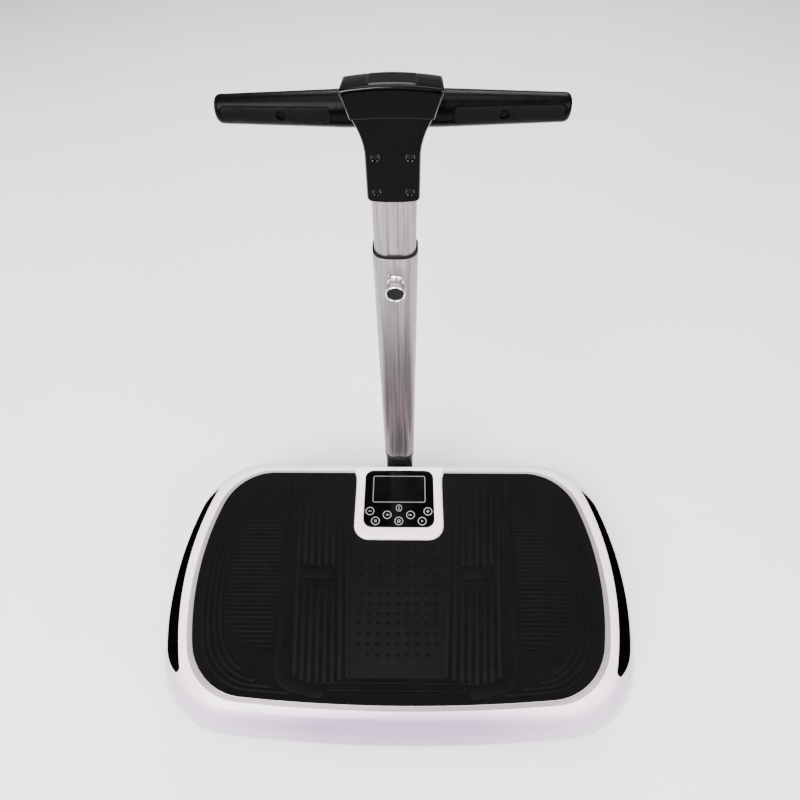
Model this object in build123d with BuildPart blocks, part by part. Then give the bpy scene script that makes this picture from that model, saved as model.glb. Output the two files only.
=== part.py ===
from build123d import *
from math import atan2, cos, degrees, hypot, radians, sin, sqrt
import os

# Vibration plate with a telescopic handle column, every piece of it a separate part.
# Millimetres. The origin is on the floor under the middle of the machine, +Z is up,
# and the user stands facing +Y, so the front of the machine faces -Y.

# ---------------------------------------------------------------- driving dimensions
# Platform outline at the mat. Other levels of the casing are this outline, grown.
MAT_HALF_WIDTH = 285.5
MAT_FRONT = -172.0
MAT_BACK = 153.0
WIDEST_Y = -4.0
SIDE_BOW = 375.0
FRONT_BOW = 2400.0
FRONT_CORNER = 85.0
BACK_CORNER = 75.0
# How fast each feature grows when the outline grows by 1 mm at the sides.
FRONT_GROWTH = 0.68
BACK_GROWTH = 0.73
CORNER_GROWTH = 0.5
SIDE_BOW_GROWTH = 2.0

# Casing: pairs of outline growth and height, from the mat seat down to the hem.
COVER_PROFILE = [(0, 137.0), (8, 134.5), (24, 130.5), (44, 108.0), (57, 74.0), (50, 24.0)]
COVER_WALL = 3.0
MAT_THICKNESS = 3.0
MAT_GAP = 0.5
TRIM_THICKNESS = 1.2
TRIM_REAR_Y = 130.0
TRIM_FRONT_Y = -130.0
TRIM_INNER_X = 309.5
TRIM_OUTER_X = 329.5

# Control panel on the rear middle of the platform
PANEL_WIDTH = 134.0
PANEL_FRONT = 42.0
PANEL_BACK = 163.0
PANEL_FRONT_RADIUS = 23.0
PANEL_BACK_RADIUS = 10.0
PANEL_TOP = 142.5
LENS_WIDTH = 107.0
LENS_DEPTH = 95.5
LENS_Y = 108.0
LENS_RADIUS = 13.0
LENS_THICKNESS = 2.8
LCD_WIDTH = 82.0
LCD_DEPTH = 46.0
LCD_Y = 123.0

# Base pan and frame
PAN_BOTTOM = 12.0
PAN_TOP = 58.0
PAN_WALL = 2.5
PAN_GROWTH = 38.0
PAN_FLOOR = PAN_BOTTOM + PAN_WALL
RAIL_WIDTH = 30.0
RAIL_HEIGHT = 20.0
RAIL_WALL = 2.0
RAIL_Y = 120.0
RAIL_LENGTH = 560.0
TIE_X = 250.0
RAIL_TOP = PAN_FLOOR + RAIL_HEIGHT
FOOT_RADIUS = 26.0
FOOT_BOLT_RADIUS = 4.0
SOCKET_X = 155.0
SOCKET_Z = 38.0

# Rocking deck
PIVOT_Z = 70.0
PIVOT_RADIUS = 8.0
PIVOT_BUSH_RADIUS = 11.0
RUNNING_CLEARANCE = 0.05
DECK_WIDTH = 500.0
DECK_LENGTH = 272.0
DECK_Z = 118.0
DECK_THICKNESS = 3.0
DECK_FLANGE = 14.0
HANGER_Y = 80.0

# Crank drive
CRANK_X = 92.0
CRANK_Z = 56.0
CRANK_RADIUS = 7.0
CRANK_THROW = 2.0
ECCENTRIC_RADIUS = 10.0
CRANK_BLOCK_Y = 62.0
CRANK_BEARING_RADIUS = 14.0
LINK_Y = 25.0
LINK_THICKNESS = 12.0
LINK_BORE_RADIUS = 14.5
LINK_EYE_RADIUS = 21.0
LINK_PIN_Z = 98.0
LINK_PIN_RADIUS = 4.0
MOTOR_X = 196.0
MOTOR_RADIUS = 34.0
MOTOR_SHAFT_RADIUS = 6.0
PULLEY_Y = 87.0
PULLEY_WIDTH = 16.0
CRANK_PULLEY_RADIUS = 32.0
MOTOR_PULLEY_RADIUS = 16.0
BELT_WIDTH = 12.0
BELT_THICKNESS = 3.0
BELT_CLEARANCE = 0.3
DRIVE_PLATE_THICKNESS = 4.0

# Column
COLUMN_Y = 187.0
TUBE_WIDTH = 46.0
TUBE_DEPTH = 39.0
TUBE_CORNER = 15.0
TUBE_WALL = 1.5
GROOVE_WIDTH = 14.0
GROOVE_DEPTH = 0.6
INNER_WIDTH = 41.6
INNER_DEPTH = 34.6
SPIGOT_WIDTH = 37.0
SPIGOT_DEPTH = 30.0
SPIGOT_TOP = 237.0
PEDESTAL_HALF_WIDTH = 46.0
PEDESTAL_TOP = 45.0
BOOT_TOP = 235.0
TUBE_BOTTOM = 165.0
TUBE_TOP = 552.0
INNER_BOTTOM = 295.0
INNER_TOP = 672.0
CLAMP_Z = 523.0
CLAMP_RADIUS = 10.5
STUD_RADIUS = 4.0

# T-head and grips
HEAD_BOTTOM = 616.0
HEAD_DEPTH = 44.0
HEAD_WALL = 2.2
HEAD_STEP = 1.0
NECK_HALF_WIDTH = 23.3
BAR_Z = 687.0
BAR_RADIUS = 8.0
GRIP_START = 27.0
GRIP_TAPER_START = 38.0
GRIP_END = 141.0
GRIP_ROOT_RADIUS = 13.75
GRIP_TIP_RADIUS = 10.5
GRIP_SCREW_X = 88.0
NECK_SCREW_X = 14.5
NECK_SCREW_Z = (627.0, 658.0)

# Alignments of boxes and cylinders that stand on their location
STANDING = (Align.CENTER, Align.CENTER, Align.MIN)
HANGING = (Align.CENTER, Align.CENTER, Align.MAX)
BEHIND = (Align.CENTER, Align.MIN, Align.MIN)

os.makedirs("parts", exist_ok=True)


# ---------------------------------------------------------------- shared shapes
def save(builder, name):
    """Label a finished piece and write its STEP file."""
    builder.part.label = name
    export_step(builder.part, f"parts/{name}.step")


def corner_centre(side, front, radius):
    """Centre of a corner arc that is tangent inside the side bow and the front bow."""
    side_x, side_y, side_radius = side
    front_x, front_y, front_radius = front
    reach_side = side_radius - radius
    reach_front = front_radius - radius
    gap = hypot(front_x - side_x, front_y - side_y)
    along = (reach_side**2 - reach_front**2 + gap**2) / (2 * gap)
    across = sqrt(reach_side**2 - along**2)
    ux = (front_x - side_x) / gap
    uy = (front_y - side_y) / gap
    return side_x + along * ux + across * uy, side_y + along * uy - across * ux


def platform_outline(growth, mode=Mode.ADD):
    """Draw the platform outline in the open sketch: a straight back and bowed sides and front."""
    back_y = MAT_BACK + BACK_GROWTH * growth
    front_y = MAT_FRONT - FRONT_GROWTH * growth
    side_radius = SIDE_BOW + SIDE_BOW_GROWTH * growth
    front_radius = FRONT_BOW + growth
    back_corner = BACK_CORNER + CORNER_GROWTH * growth
    front_corner = FRONT_CORNER + CORNER_GROWTH * growth

    side_x = MAT_HALF_WIDTH + growth - side_radius
    bow_y = front_y + front_radius
    back_cy = back_y - back_corner
    back_cx = side_x + sqrt((side_radius - back_corner) ** 2 - (back_cy - WIDEST_Y) ** 2)
    front_cx, front_cy = corner_centre(
        (side_x, WIDEST_Y, side_radius), (0, bow_y, front_radius), front_corner
    )
    back_turn = degrees(atan2(back_cy - WIDEST_Y, back_cx - side_x))
    side_turn = degrees(atan2(front_cy - WIDEST_Y, front_cx - side_x))
    front_turn = degrees(atan2(front_cy - bow_y, front_cx))

    with BuildLine() as outline:
        Line((0, back_y), (back_cx, back_y))
        CenterArc((back_cx, back_cy), back_corner, 90, back_turn - 90)
        CenterArc((side_x, WIDEST_Y), side_radius, back_turn, side_turn - back_turn)
        CenterArc((front_cx, front_cy), front_corner, side_turn, front_turn - side_turn)
        CenterArc((0, bow_y), front_radius, front_turn, -90 - front_turn)
        mirror(about=Plane.YZ)
    make_face(outline.edges(), mode=mode)


def platform_loft(growth=0.0, drop=0.0, mode=Mode.ADD):
    """Loft the casing's levels, all of them grown and lowered by the same amounts."""
    levels = []
    for level_growth, level_z in COVER_PROFILE:
        with BuildSketch(Plane.XY.offset(level_z - drop)) as level:
            platform_outline(level_growth + growth)
        levels.append(level.sketch.face())
    loft(levels, ruled=True, mode=mode)


def panel_outline(growth, mode=Mode.ADD):
    """Draw the control panel's outline: a rectangle with large corners towards the user."""
    with BuildSketch() as outline:
        with Locations((0, (PANEL_FRONT + PANEL_BACK) / 2)):
            Rectangle(PANEL_WIDTH + 2 * growth, PANEL_BACK - PANEL_FRONT + 2 * growth)
        fillet(outline.vertices().group_by(Axis.Y)[0], PANEL_FRONT_RADIUS + growth)
        fillet(outline.vertices().group_by(Axis.Y)[-1], PANEL_BACK_RADIUS + growth)
    add(outline.sketch, mode=mode)


def trim_outline(side):
    """Draw a trim's crescent in plan: pointed at the back, full and rounded at the front."""
    with BuildSketch() as crescent:
        with BuildLine():
            inner = ThreePointArc(
                (TRIM_INNER_X - 21.5, TRIM_REAR_Y),
                (TRIM_INNER_X, 0),
                (TRIM_INNER_X - 21.5, TRIM_FRONT_Y),
            )
            tip = ThreePointArc(
                inner @ 0, (TRIM_OUTER_X - 27.5, 121.5), (TRIM_OUTER_X - 17.5, 110.0)
            )
            outer = ThreePointArc(tip @ 1, (TRIM_OUTER_X - 6.6, 65.0), (TRIM_OUTER_X, -8.0))
            flank = ThreePointArc(
                outer @ 1, (TRIM_OUTER_X - 3.0, -58.0), (TRIM_OUTER_X - 12.0, -108.0)
            )
            ThreePointArc(flank @ 1, (TRIM_OUTER_X - 26.0, -130.5), inner @ 1)
        make_face()
    if side < 0:
        add(mirror(crescent.sketch, about=Plane.YZ, mode=Mode.PRIVATE))
    else:
        add(crescent.sketch)


def column_plane(z):
    """Horizontal plane at height z whose origin is on the column's axis."""
    return Plane(origin=(0, COLUMN_Y, z))


def tube_section(width, depth, groove=0.0, mode=Mode.ADD):
    """Draw a column tube's oval section, with a shallow groove down its front face."""
    inset = (TUBE_WIDTH - width) / 2
    RectangleRounded(width, depth, TUBE_CORNER - inset, mode=mode)
    if groove:
        with Locations((0, -depth / 2)):
            Rectangle(GROOVE_WIDTH, 2 * groove, mode=Mode.SUBTRACT)


def along_y(x, y, z):
    """Plane for a round feature whose axis runs along +Y."""
    return Plane(origin=(x, y, z), x_dir=(1, 0, 0), z_dir=(0, 1, 0))


def along_x(x, y, z):
    """Plane for a round feature whose axis runs along +X."""
    return Plane(origin=(x, y, z), x_dir=(0, 1, 0), z_dir=(1, 0, 0))


# ---------------------------------------------------------------- base pan and frame
MACHINE_BACK = -(MAT_FRONT - FRONT_GROWTH * COVER_PROFILE[-2][0])
SOCKET_Y = MAT_BACK + BACK_GROWTH * PAN_GROWTH
FOOT_SPOTS = [(x, y) for x in (-TIE_X, TIE_X) for y in (-RAIL_Y, RAIL_Y)]

with BuildPart() as base_pan:
    with BuildSketch(Plane.XY.offset(PAN_BOTTOM)):
        platform_outline(PAN_GROWTH)
    extrude(amount=PAN_TOP - PAN_BOTTOM)
    with BuildSketch(Plane.XY.offset(PAN_FLOOR)):
        platform_outline(PAN_GROWTH - PAN_WALL)
    extrude(amount=PAN_TOP, mode=Mode.SUBTRACT)
    # Pedestal behind the platform, under the column
    pedestal_front = SOCKET_Y - 12
    with Locations((0, (pedestal_front + MACHINE_BACK) / 2, PAN_BOTTOM)):
        Box(
            2 * PEDESTAL_HALF_WIDTH,
            MACHINE_BACK - pedestal_front,
            PEDESTAL_TOP - PAN_BOTTOM,
            align=STANDING,
        )
    fillet(base_pan.edges().filter_by(Axis.Z).group_by(Axis.Y)[-1], 10)
    with Locations((0, (pedestal_front + MACHINE_BACK) / 2 - PAN_WALL, PAN_FLOOR)):
        Box(
            2 * (PEDESTAL_HALF_WIDTH - PAN_WALL),
            MACHINE_BACK - pedestal_front,
            PEDESTAL_TOP - PAN_BOTTOM - 2 * PAN_WALL,
            align=STANDING,
            mode=Mode.SUBTRACT,
        )
    with BuildSketch(column_plane(PEDESTAL_TOP - 2 * PAN_WALL)):
        tube_section(SPIGOT_WIDTH + 1, SPIGOT_DEPTH + 1)
    extrude(amount=4 * PAN_WALL, mode=Mode.SUBTRACT)
    with Locations((0, COLUMN_Y, PEDESTAL_TOP)):
        Box(
            2 * PEDESTAL_HALF_WIDTH,
            60,
            PAN_TOP,
            align=STANDING,
            mode=Mode.SUBTRACT,
        )
    # Openings for the mains inlet and the switch in the rear wall
    with BuildSketch(along_y(SOCKET_X, SOCKET_Y, SOCKET_Z)):
        with Locations((-14, 0)):
            Rectangle(28, 21)
        with Locations((20, 0)):
            Rectangle(19.4, 21)
    extrude(amount=PAN_WALL * 2, both=True, mode=Mode.SUBTRACT)
    # Foot bolt holes and cooling slots in the floor
    with Locations(*[(x, y, PAN_FLOOR) for x, y in FOOT_SPOTS]):
        Hole(FOOT_BOLT_RADIUS)
    with BuildSketch(Plane.XY.offset(PAN_BOTTOM)):
        for slot_x in (-150, 150):
            with Locations((slot_x, 0)):
                with GridLocations(14, 0, 7, 1):
                    SlotOverall(60, 5, rotation=90)
    extrude(amount=PAN_WALL, mode=Mode.SUBTRACT)
save(base_pan, "base_pan")

with BuildPart() as suction_feet:
    with BuildSketch(Plane.XZ) as foot_profile:
        with BuildLine():
            Polyline(
                (FOOT_BOLT_RADIUS, PAN_BOTTOM),
                (FOOT_BOLT_RADIUS, 5),
                (8, 5),
                (FOOT_RADIUS - 4, 0),
                (FOOT_RADIUS, 0),
                (FOOT_RADIUS - 8, 8),
                (FOOT_RADIUS - 12, PAN_BOTTOM),
                close=True,
            )
        make_face()
    for foot_x, foot_y in FOOT_SPOTS:
        spot = Location((foot_x, foot_y, 0))
        add(revolve(foot_profile.sketch, Axis.Z, mode=Mode.PRIVATE).moved(spot))
save(suction_feet, "suction_feet")

with BuildPart() as foot_bolts:
    with Locations(*[(x, y, 5) for x, y in FOOT_SPOTS]):
        Cylinder(FOOT_BOLT_RADIUS, RAIL_TOP - 5, align=STANDING)
    with BuildSketch(Plane.XY.offset(RAIL_TOP)):
        with Locations(*FOOT_SPOTS):
            RegularPolygon(7.5, 6)
    extrude(amount=6)
save(foot_bolts, "foot_bolts")

with BuildPart() as frame_rails:
    with Locations((0, -RAIL_Y, PAN_FLOOR), (0, RAIL_Y, PAN_FLOOR)):
        Box(RAIL_LENGTH, RAIL_WIDTH, RAIL_HEIGHT, align=STANDING)
    with Locations((0, -RAIL_Y, PAN_FLOOR + RAIL_WALL), (0, RAIL_Y, PAN_FLOOR + RAIL_WALL)):
        Box(
            RAIL_LENGTH,
            RAIL_WIDTH - 2 * RAIL_WALL,
            RAIL_HEIGHT - 2 * RAIL_WALL,
            align=STANDING,
            mode=Mode.SUBTRACT,
        )
    with Locations(*[(x, y, RAIL_TOP) for x, y in FOOT_SPOTS]):
        Hole(FOOT_BOLT_RADIUS)
save(frame_rails, "frame_rails")

TIE_LENGTH = 2 * RAIL_Y - RAIL_WIDTH
with BuildPart() as frame_ties:
    with Locations((-TIE_X, 0, PAN_FLOOR), (TIE_X, 0, PAN_FLOOR)):
        Box(RAIL_WIDTH, TIE_LENGTH, RAIL_HEIGHT, align=STANDING)
    with Locations((-TIE_X, 0, PAN_FLOOR + RAIL_WALL), (TIE_X, 0, PAN_FLOOR + RAIL_WALL)):
        Box(
            RAIL_WIDTH - 2 * RAIL_WALL,
            TIE_LENGTH,
            RAIL_HEIGHT - 2 * RAIL_WALL,
            align=STANDING,
            mode=Mode.SUBTRACT,
        )
save(frame_ties, "frame_ties")

# ---------------------------------------------------------------- drive, fixed pieces
DRIVE_PLATE_TOP = PAN_FLOOR + DRIVE_PLATE_THICKNESS
PLATE_START = 55.0
PLATE_END = TIE_X - RAIL_WIDTH / 2

with BuildPart() as drive_plate:
    with Locations(((PLATE_START + PLATE_END) / 2, 0, PAN_FLOOR)):
        Box(
            PLATE_END - PLATE_START,
            TIE_LENGTH,
            DRIVE_PLATE_THICKNESS,
            align=STANDING,
        )
save(drive_plate, "drive_plate")

with BuildPart() as motor_body:
    with BuildSketch(along_y(MOTOR_X, -48, CRANK_Z)):
        Circle(MOTOR_RADIUS)
    extrude(amount=112)
    chamfer(motor_body.edges().filter_by(GeomType.CIRCLE), 4)
    with BuildSketch(along_y(MOTOR_X, -48, CRANK_Z)):
        with PolarLocations(MOTOR_RADIUS, 16):
            Rectangle(5, 4)
    extrude(amount=112, mode=Mode.SUBTRACT)
    with BuildSketch(along_y(MOTOR_X, -40, CRANK_Z)):
        Circle(MOTOR_SHAFT_RADIUS + RUNNING_CLEARANCE)
    extrude(amount=110, mode=Mode.SUBTRACT)
save(motor_body, "motor_body")

with BuildPart() as motor_cradle:
    for cradle_y in (-32, 36):
        with BuildSketch(along_y(MOTOR_X, cradle_y, 0)):
            with Locations((0, -(DRIVE_PLATE_TOP + 16))):
                Rectangle(64, 32)
        extrude(amount=12)
    with BuildSketch(along_y(MOTOR_X, -60, CRANK_Z)):
        Circle(MOTOR_RADIUS)
    extrude(amount=140, mode=Mode.SUBTRACT)
save(motor_cradle, "motor_cradle")

with BuildPart() as crank_blocks:
    for block_y in (-CRANK_BLOCK_Y, CRANK_BLOCK_Y):
        with BuildSketch(along_y(CRANK_X, block_y - 7, 0)):
            with Locations((0, -(DRIVE_PLATE_TOP + 4))):
                Rectangle(62, 8)
            with Locations((0, -(DRIVE_PLATE_TOP + CRANK_Z) / 2)):
                Rectangle(36, CRANK_Z - DRIVE_PLATE_TOP)
            with Locations((0, -CRANK_Z)):
                Circle(18)
                Circle(CRANK_BEARING_RADIUS, mode=Mode.SUBTRACT)
        extrude(amount=14)
save(crank_blocks, "crank_blocks")

with BuildPart() as crank_bearings:
    for block_y in (-CRANK_BLOCK_Y, CRANK_BLOCK_Y):
        with BuildSketch(along_y(CRANK_X, block_y - 5, CRANK_Z)):
            Circle(CRANK_BEARING_RADIUS)
            Circle(CRANK_RADIUS + RUNNING_CLEARANCE, mode=Mode.SUBTRACT)
        extrude(amount=10)
save(crank_bearings, "crank_bearings")


def belt_loop(clearance, mode=Mode.ADD):
    """Draw the convex loop round both pulleys, clearance outside their running faces."""
    with BuildSketch() as loop:
        with Locations((CRANK_X, -CRANK_Z)):
            Circle(CRANK_PULLEY_RADIUS + clearance)
        with Locations((MOTOR_X, -CRANK_Z)):
            Circle(MOTOR_PULLEY_RADIUS + clearance)
        make_hull()
    add(loop.sketch, mode=mode)


with BuildPart() as drive_belt:
    with BuildSketch(along_y(0, PULLEY_Y - BELT_WIDTH / 2, 0)):
        belt_loop(BELT_CLEARANCE + BELT_THICKNESS)
        belt_loop(BELT_CLEARANCE, Mode.SUBTRACT)
    extrude(amount=BELT_WIDTH)
save(drive_belt, "drive_belt")

with BuildPart() as pivot_blocks:
    for block_y in (-RAIL_Y, RAIL_Y):
        with BuildSketch(along_y(0, block_y - 9, 0)):
            with Locations((0, -(RAIL_TOP + 4))):
                Rectangle(84, 8)
            with Locations((0, -(RAIL_TOP + PIVOT_Z) / 2)):
                Rectangle(36, PIVOT_Z - RAIL_TOP)
            with Locations((0, -PIVOT_Z)):
                Circle(18)
                Circle(PIVOT_BUSH_RADIUS, mode=Mode.SUBTRACT)
        extrude(amount=18)
save(pivot_blocks, "pivot_blocks")

with BuildPart() as pivot_bushes:
    for block_y in (-RAIL_Y, RAIL_Y):
        with BuildSketch(along_y(0, block_y - 9, PIVOT_Z)):
            Circle(PIVOT_BUSH_RADIUS)
            Circle(PIVOT_RADIUS + RUNNING_CLEARANCE, mode=Mode.SUBTRACT)
        extrude(amount=18)
save(pivot_bushes, "pivot_bushes")

BLOCK_BOLT_SPOTS = [(x, y, RAIL_TOP + 8) for x in (-32, 32) for y in (-RAIL_Y, RAIL_Y)]
BLOCK_BOLT_SPOTS += [
    (CRANK_X + x, y, DRIVE_PLATE_TOP + 8) for x in (-25, 25) for y in (-CRANK_BLOCK_Y, CRANK_BLOCK_Y)
]
with BuildPart() as block_bolts:
    for bolt_x, bolt_y, bolt_z in BLOCK_BOLT_SPOTS:
        with BuildSketch(Plane.XY.offset(bolt_z)):
            with Locations((bolt_x, bolt_y)):
                RegularPolygon(5.0, 6)
        extrude(amount=4)
save(block_bolts, "block_bolts")

# ---------------------------------------------------------------- electrics
with BuildPart() as control_board:
    with Locations((-140, 0, 22)):
        Box(120, 100, 1.6, align=STANDING)
    with Locations((-175, 25, 23.6)):
        Box(30, 28, 24, align=STANDING)
    with Locations((-120, -20, 23.6)):
        Box(34, 12, 30, align=STANDING)
    with Locations((-165, -28, 23.6), (-148, -28, 23.6)):
        Cylinder(7, 22, align=STANDING)
    with Locations((-100, 35, 23.6)):
        Box(24, 10, 9, align=STANDING)
    with Locations(*[(-140 + x, y, PAN_FLOOR) for x in (-54, 54) for y in (-44, 44)]):
        Cylinder(4, 22 - PAN_FLOOR, align=STANDING)
save(control_board, "control_board")

INLET_X = SOCKET_X - 14
SWITCH_X = SOCKET_X + 20
with BuildPart() as power_inlet:
    with BuildSketch(along_y(INLET_X, SOCKET_Y, SOCKET_Z)):
        RectangleRounded(33, 26, 3)
    extrude(amount=2)
    with BuildSketch(along_y(INLET_X, SOCKET_Y - 20, SOCKET_Z)):
        Rectangle(27.6, 20.6)
    extrude(amount=20)
    with BuildSketch(along_y(INLET_X, SOCKET_Y + 2, SOCKET_Z)):
        RectangleRounded(22, 14, 4)
    extrude(amount=-16, mode=Mode.SUBTRACT)
    with BuildSketch(along_y(INLET_X, SOCKET_Y - 15, SOCKET_Z)):
        with Locations((-6, 1), (0, -2.5), (6, 1)):
            Rectangle(2, 4)
    extrude(amount=14)
save(power_inlet, "power_inlet")

ROCKER_PIVOT_Y = SOCKET_Y - 4
ROCKER_PIN_RADIUS = 1.5
with BuildPart() as switch_housing:
    with BuildSketch(along_y(SWITCH_X, SOCKET_Y, SOCKET_Z)):
        RectangleRounded(23, 26, 2)
    extrude(amount=1.5)
    with BuildSketch(along_y(SWITCH_X, SOCKET_Y - 17, SOCKET_Z)):
        Rectangle(19, 20.6)
    extrude(amount=17)
    with BuildSketch(along_y(SWITCH_X, SOCKET_Y + 2, SOCKET_Z)):
        Rectangle(15, 19)
    extrude(amount=-14, mode=Mode.SUBTRACT)
    # Bores for the rocker's pivot pins
    with BuildSketch(along_x(SWITCH_X - 9.5, ROCKER_PIVOT_Y, SOCKET_Z)):
        Circle(ROCKER_PIN_RADIUS + 0.1)
    extrude(amount=19, mode=Mode.SUBTRACT)
save(switch_housing, "switch_housing")

# The rocker rests tipped to one side: its lower half stands proud of the frame.
ROCKER_TILT = 12.0
rocker_plane = Plane(
    origin=(SWITCH_X, ROCKER_PIVOT_Y, SOCKET_Z),
    x_dir=(0, cos(radians(ROCKER_TILT)), sin(radians(ROCKER_TILT))),
    z_dir=(1, 0, 0),
)
with BuildPart() as switch_rocker:
    with BuildSketch(rocker_plane):
        with BuildLine():
            Polyline((-3, -3), (-3, 3), (2, 7), (6.2, 7.6), (4.6, 0), (6.2, -7.6), (2, -7), close=True)
        make_face()
    extrude(amount=7, both=True)
    with BuildSketch(along_x(SWITCH_X - 8.8, ROCKER_PIVOT_Y, SOCKET_Z)):
        Circle(ROCKER_PIN_RADIUS)
    extrude(amount=17.6)
save(switch_rocker, "switch_rocker")

# ---------------------------------------------------------------- column, fixed pieces
with BuildPart() as column_bracket:
    with Locations((0, RAIL_Y + RAIL_WIDTH / 2, PAN_FLOOR)):
        Box(60, 70, 6, align=BEHIND)
    with BuildSketch(column_plane(PAN_FLOOR + 6)):
        tube_section(SPIGOT_WIDTH, SPIGOT_DEPTH)
        tube_section(SPIGOT_WIDTH - 6, SPIGOT_DEPTH - 6, mode=Mode.SUBTRACT)
    extrude(amount=SPIGOT_TOP - PAN_FLOOR - 6)
save(column_bracket, "column_bracket")

BOOT_GAP = 0.2
with BuildPart() as column_boot:
    with BuildSketch(column_plane(PEDESTAL_TOP)):
        RectangleRounded(58, 42, 12)
    extrude(amount=4)
    with BuildSketch(column_plane(PEDESTAL_TOP)):
        tube_section(TUBE_WIDTH - 2 * TUBE_WALL - BOOT_GAP, TUBE_DEPTH - 2 * TUBE_WALL - BOOT_GAP)
    extrude(amount=BOOT_TOP - PEDESTAL_TOP)
    with BuildSketch(column_plane(PEDESTAL_TOP)):
        tube_section(SPIGOT_WIDTH, SPIGOT_DEPTH)
    extrude(amount=BOOT_TOP - PEDESTAL_TOP, mode=Mode.SUBTRACT)
    with BuildSketch(along_y(0, COLUMN_Y, 0)):
        with Locations((0, -185), (0, -215)):
            Circle(3)
    extrude(amount=TUBE_DEPTH, mode=Mode.SUBTRACT)
save(column_boot, "column_boot")

with BuildPart() as outer_tube:
    with BuildSketch(column_plane(TUBE_BOTTOM)):
        tube_section(TUBE_WIDTH, TUBE_DEPTH, GROOVE_DEPTH)
        tube_section(TUBE_WIDTH - 2 * TUBE_WALL, TUBE_DEPTH - 2 * TUBE_WALL, mode=Mode.SUBTRACT)
    extrude(amount=TUBE_TOP - TUBE_BOTTOM)
    with BuildSketch(along_y(0, COLUMN_Y, 0)):
        with Locations((0, -185), (0, -215)):
            Circle(3)
    extrude(amount=TUBE_DEPTH, mode=Mode.SUBTRACT)
    with BuildSketch(along_y(0, COLUMN_Y, CLAMP_Z)):
        Circle(STUD_RADIUS + 1)
    extrude(amount=-TUBE_DEPTH, mode=Mode.SUBTRACT)
save(outer_tube, "outer_tube")

TUBE_REAR = COLUMN_Y + TUBE_DEPTH / 2
with BuildPart() as column_bolts:
    for bolt_z in (185, 215):
        with BuildSketch(along_y(0, COLUMN_Y + SPIGOT_DEPTH / 2, bolt_z)):
            Circle(3)
        extrude(amount=TUBE_REAR - COLUMN_Y - SPIGOT_DEPTH / 2)
        with BuildSketch(along_y(0, TUBE_REAR, bolt_z)):
            Circle(5)
        extrude(amount=2.5)
        with BuildSketch(along_y(0, TUBE_REAR + 2.5, bolt_z)):
            RegularPolygon(2.5, 6)
        extrude(amount=-1.5, mode=Mode.SUBTRACT)
save(column_bolts, "column_bolts")

SLIDE_GAP = 0.3
BUSH_LENGTH = 21.0
BUSH_LIP = 2.5
with BuildPart() as guide_bush:
    with BuildSketch(column_plane(TUBE_TOP - BUSH_LENGTH)):
        tube_section(TUBE_WIDTH - 2 * TUBE_WALL, TUBE_DEPTH - 2 * TUBE_WALL)
    extrude(amount=BUSH_LENGTH)
    with BuildSketch(column_plane(TUBE_TOP)):
        tube_section(TUBE_WIDTH, TUBE_DEPTH)
    extrude(amount=BUSH_LIP)
    with BuildSketch(column_plane(TUBE_TOP - BUSH_LENGTH)):
        tube_section(INNER_WIDTH + 2 * SLIDE_GAP, INNER_DEPTH + 2 * SLIDE_GAP)
    extrude(amount=BUSH_LENGTH + BUSH_LIP, mode=Mode.SUBTRACT)
save(guide_bush, "guide_bush")

TUBE_FRONT = COLUMN_Y - TUBE_DEPTH / 2
BOSS_LENGTH = 6.0
with BuildPart() as clamp_boss:
    with BuildSketch(along_y(0, TUBE_FRONT + GROOVE_DEPTH, CLAMP_Z)):
        Circle(7)
        Circle(STUD_RADIUS + RUNNING_CLEARANCE, mode=Mode.SUBTRACT)
    extrude(amount=-BOSS_LENGTH)
save(clamp_boss, "clamp_boss")

# ---------------------------------------------------------------- casing on the deck
with BuildPart() as cover_blank:
    platform_loft()
with BuildPart() as trim_bed:
    platform_loft(growth=-TRIM_THICKNESS, drop=TRIM_THICKNESS)


def make_trim(side):
    """A crescent trim: the outermost skin of the casing inside the crescent's outline."""
    with BuildPart() as trim:
        add(cover_blank.part)
        with BuildSketch(Plane.XY.offset(60)):
            trim_outline(side)
        extrude(amount=90, mode=Mode.INTERSECT)
        add(trim_bed.part, mode=Mode.SUBTRACT)
    return trim


left_trim = make_trim(-1)
right_trim = make_trim(1)
save(left_trim, "left_trim")
save(right_trim, "right_trim")

COVER_HEM = COVER_PROFILE[-1][1]
COVER_TOP_INSIDE = COVER_PROFILE[0][1] - COVER_WALL
NOTCH_HALF_WIDTH = 31.0
NOTCH_FRONT = 166.0
COVER_SCREW_SPOTS = [(x, y) for x in (-225, 225) for y in (-85, 85)] + [(-75, -120), (75, -120)]
DECK_TOP = DECK_Z + DECK_THICKNESS

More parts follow.
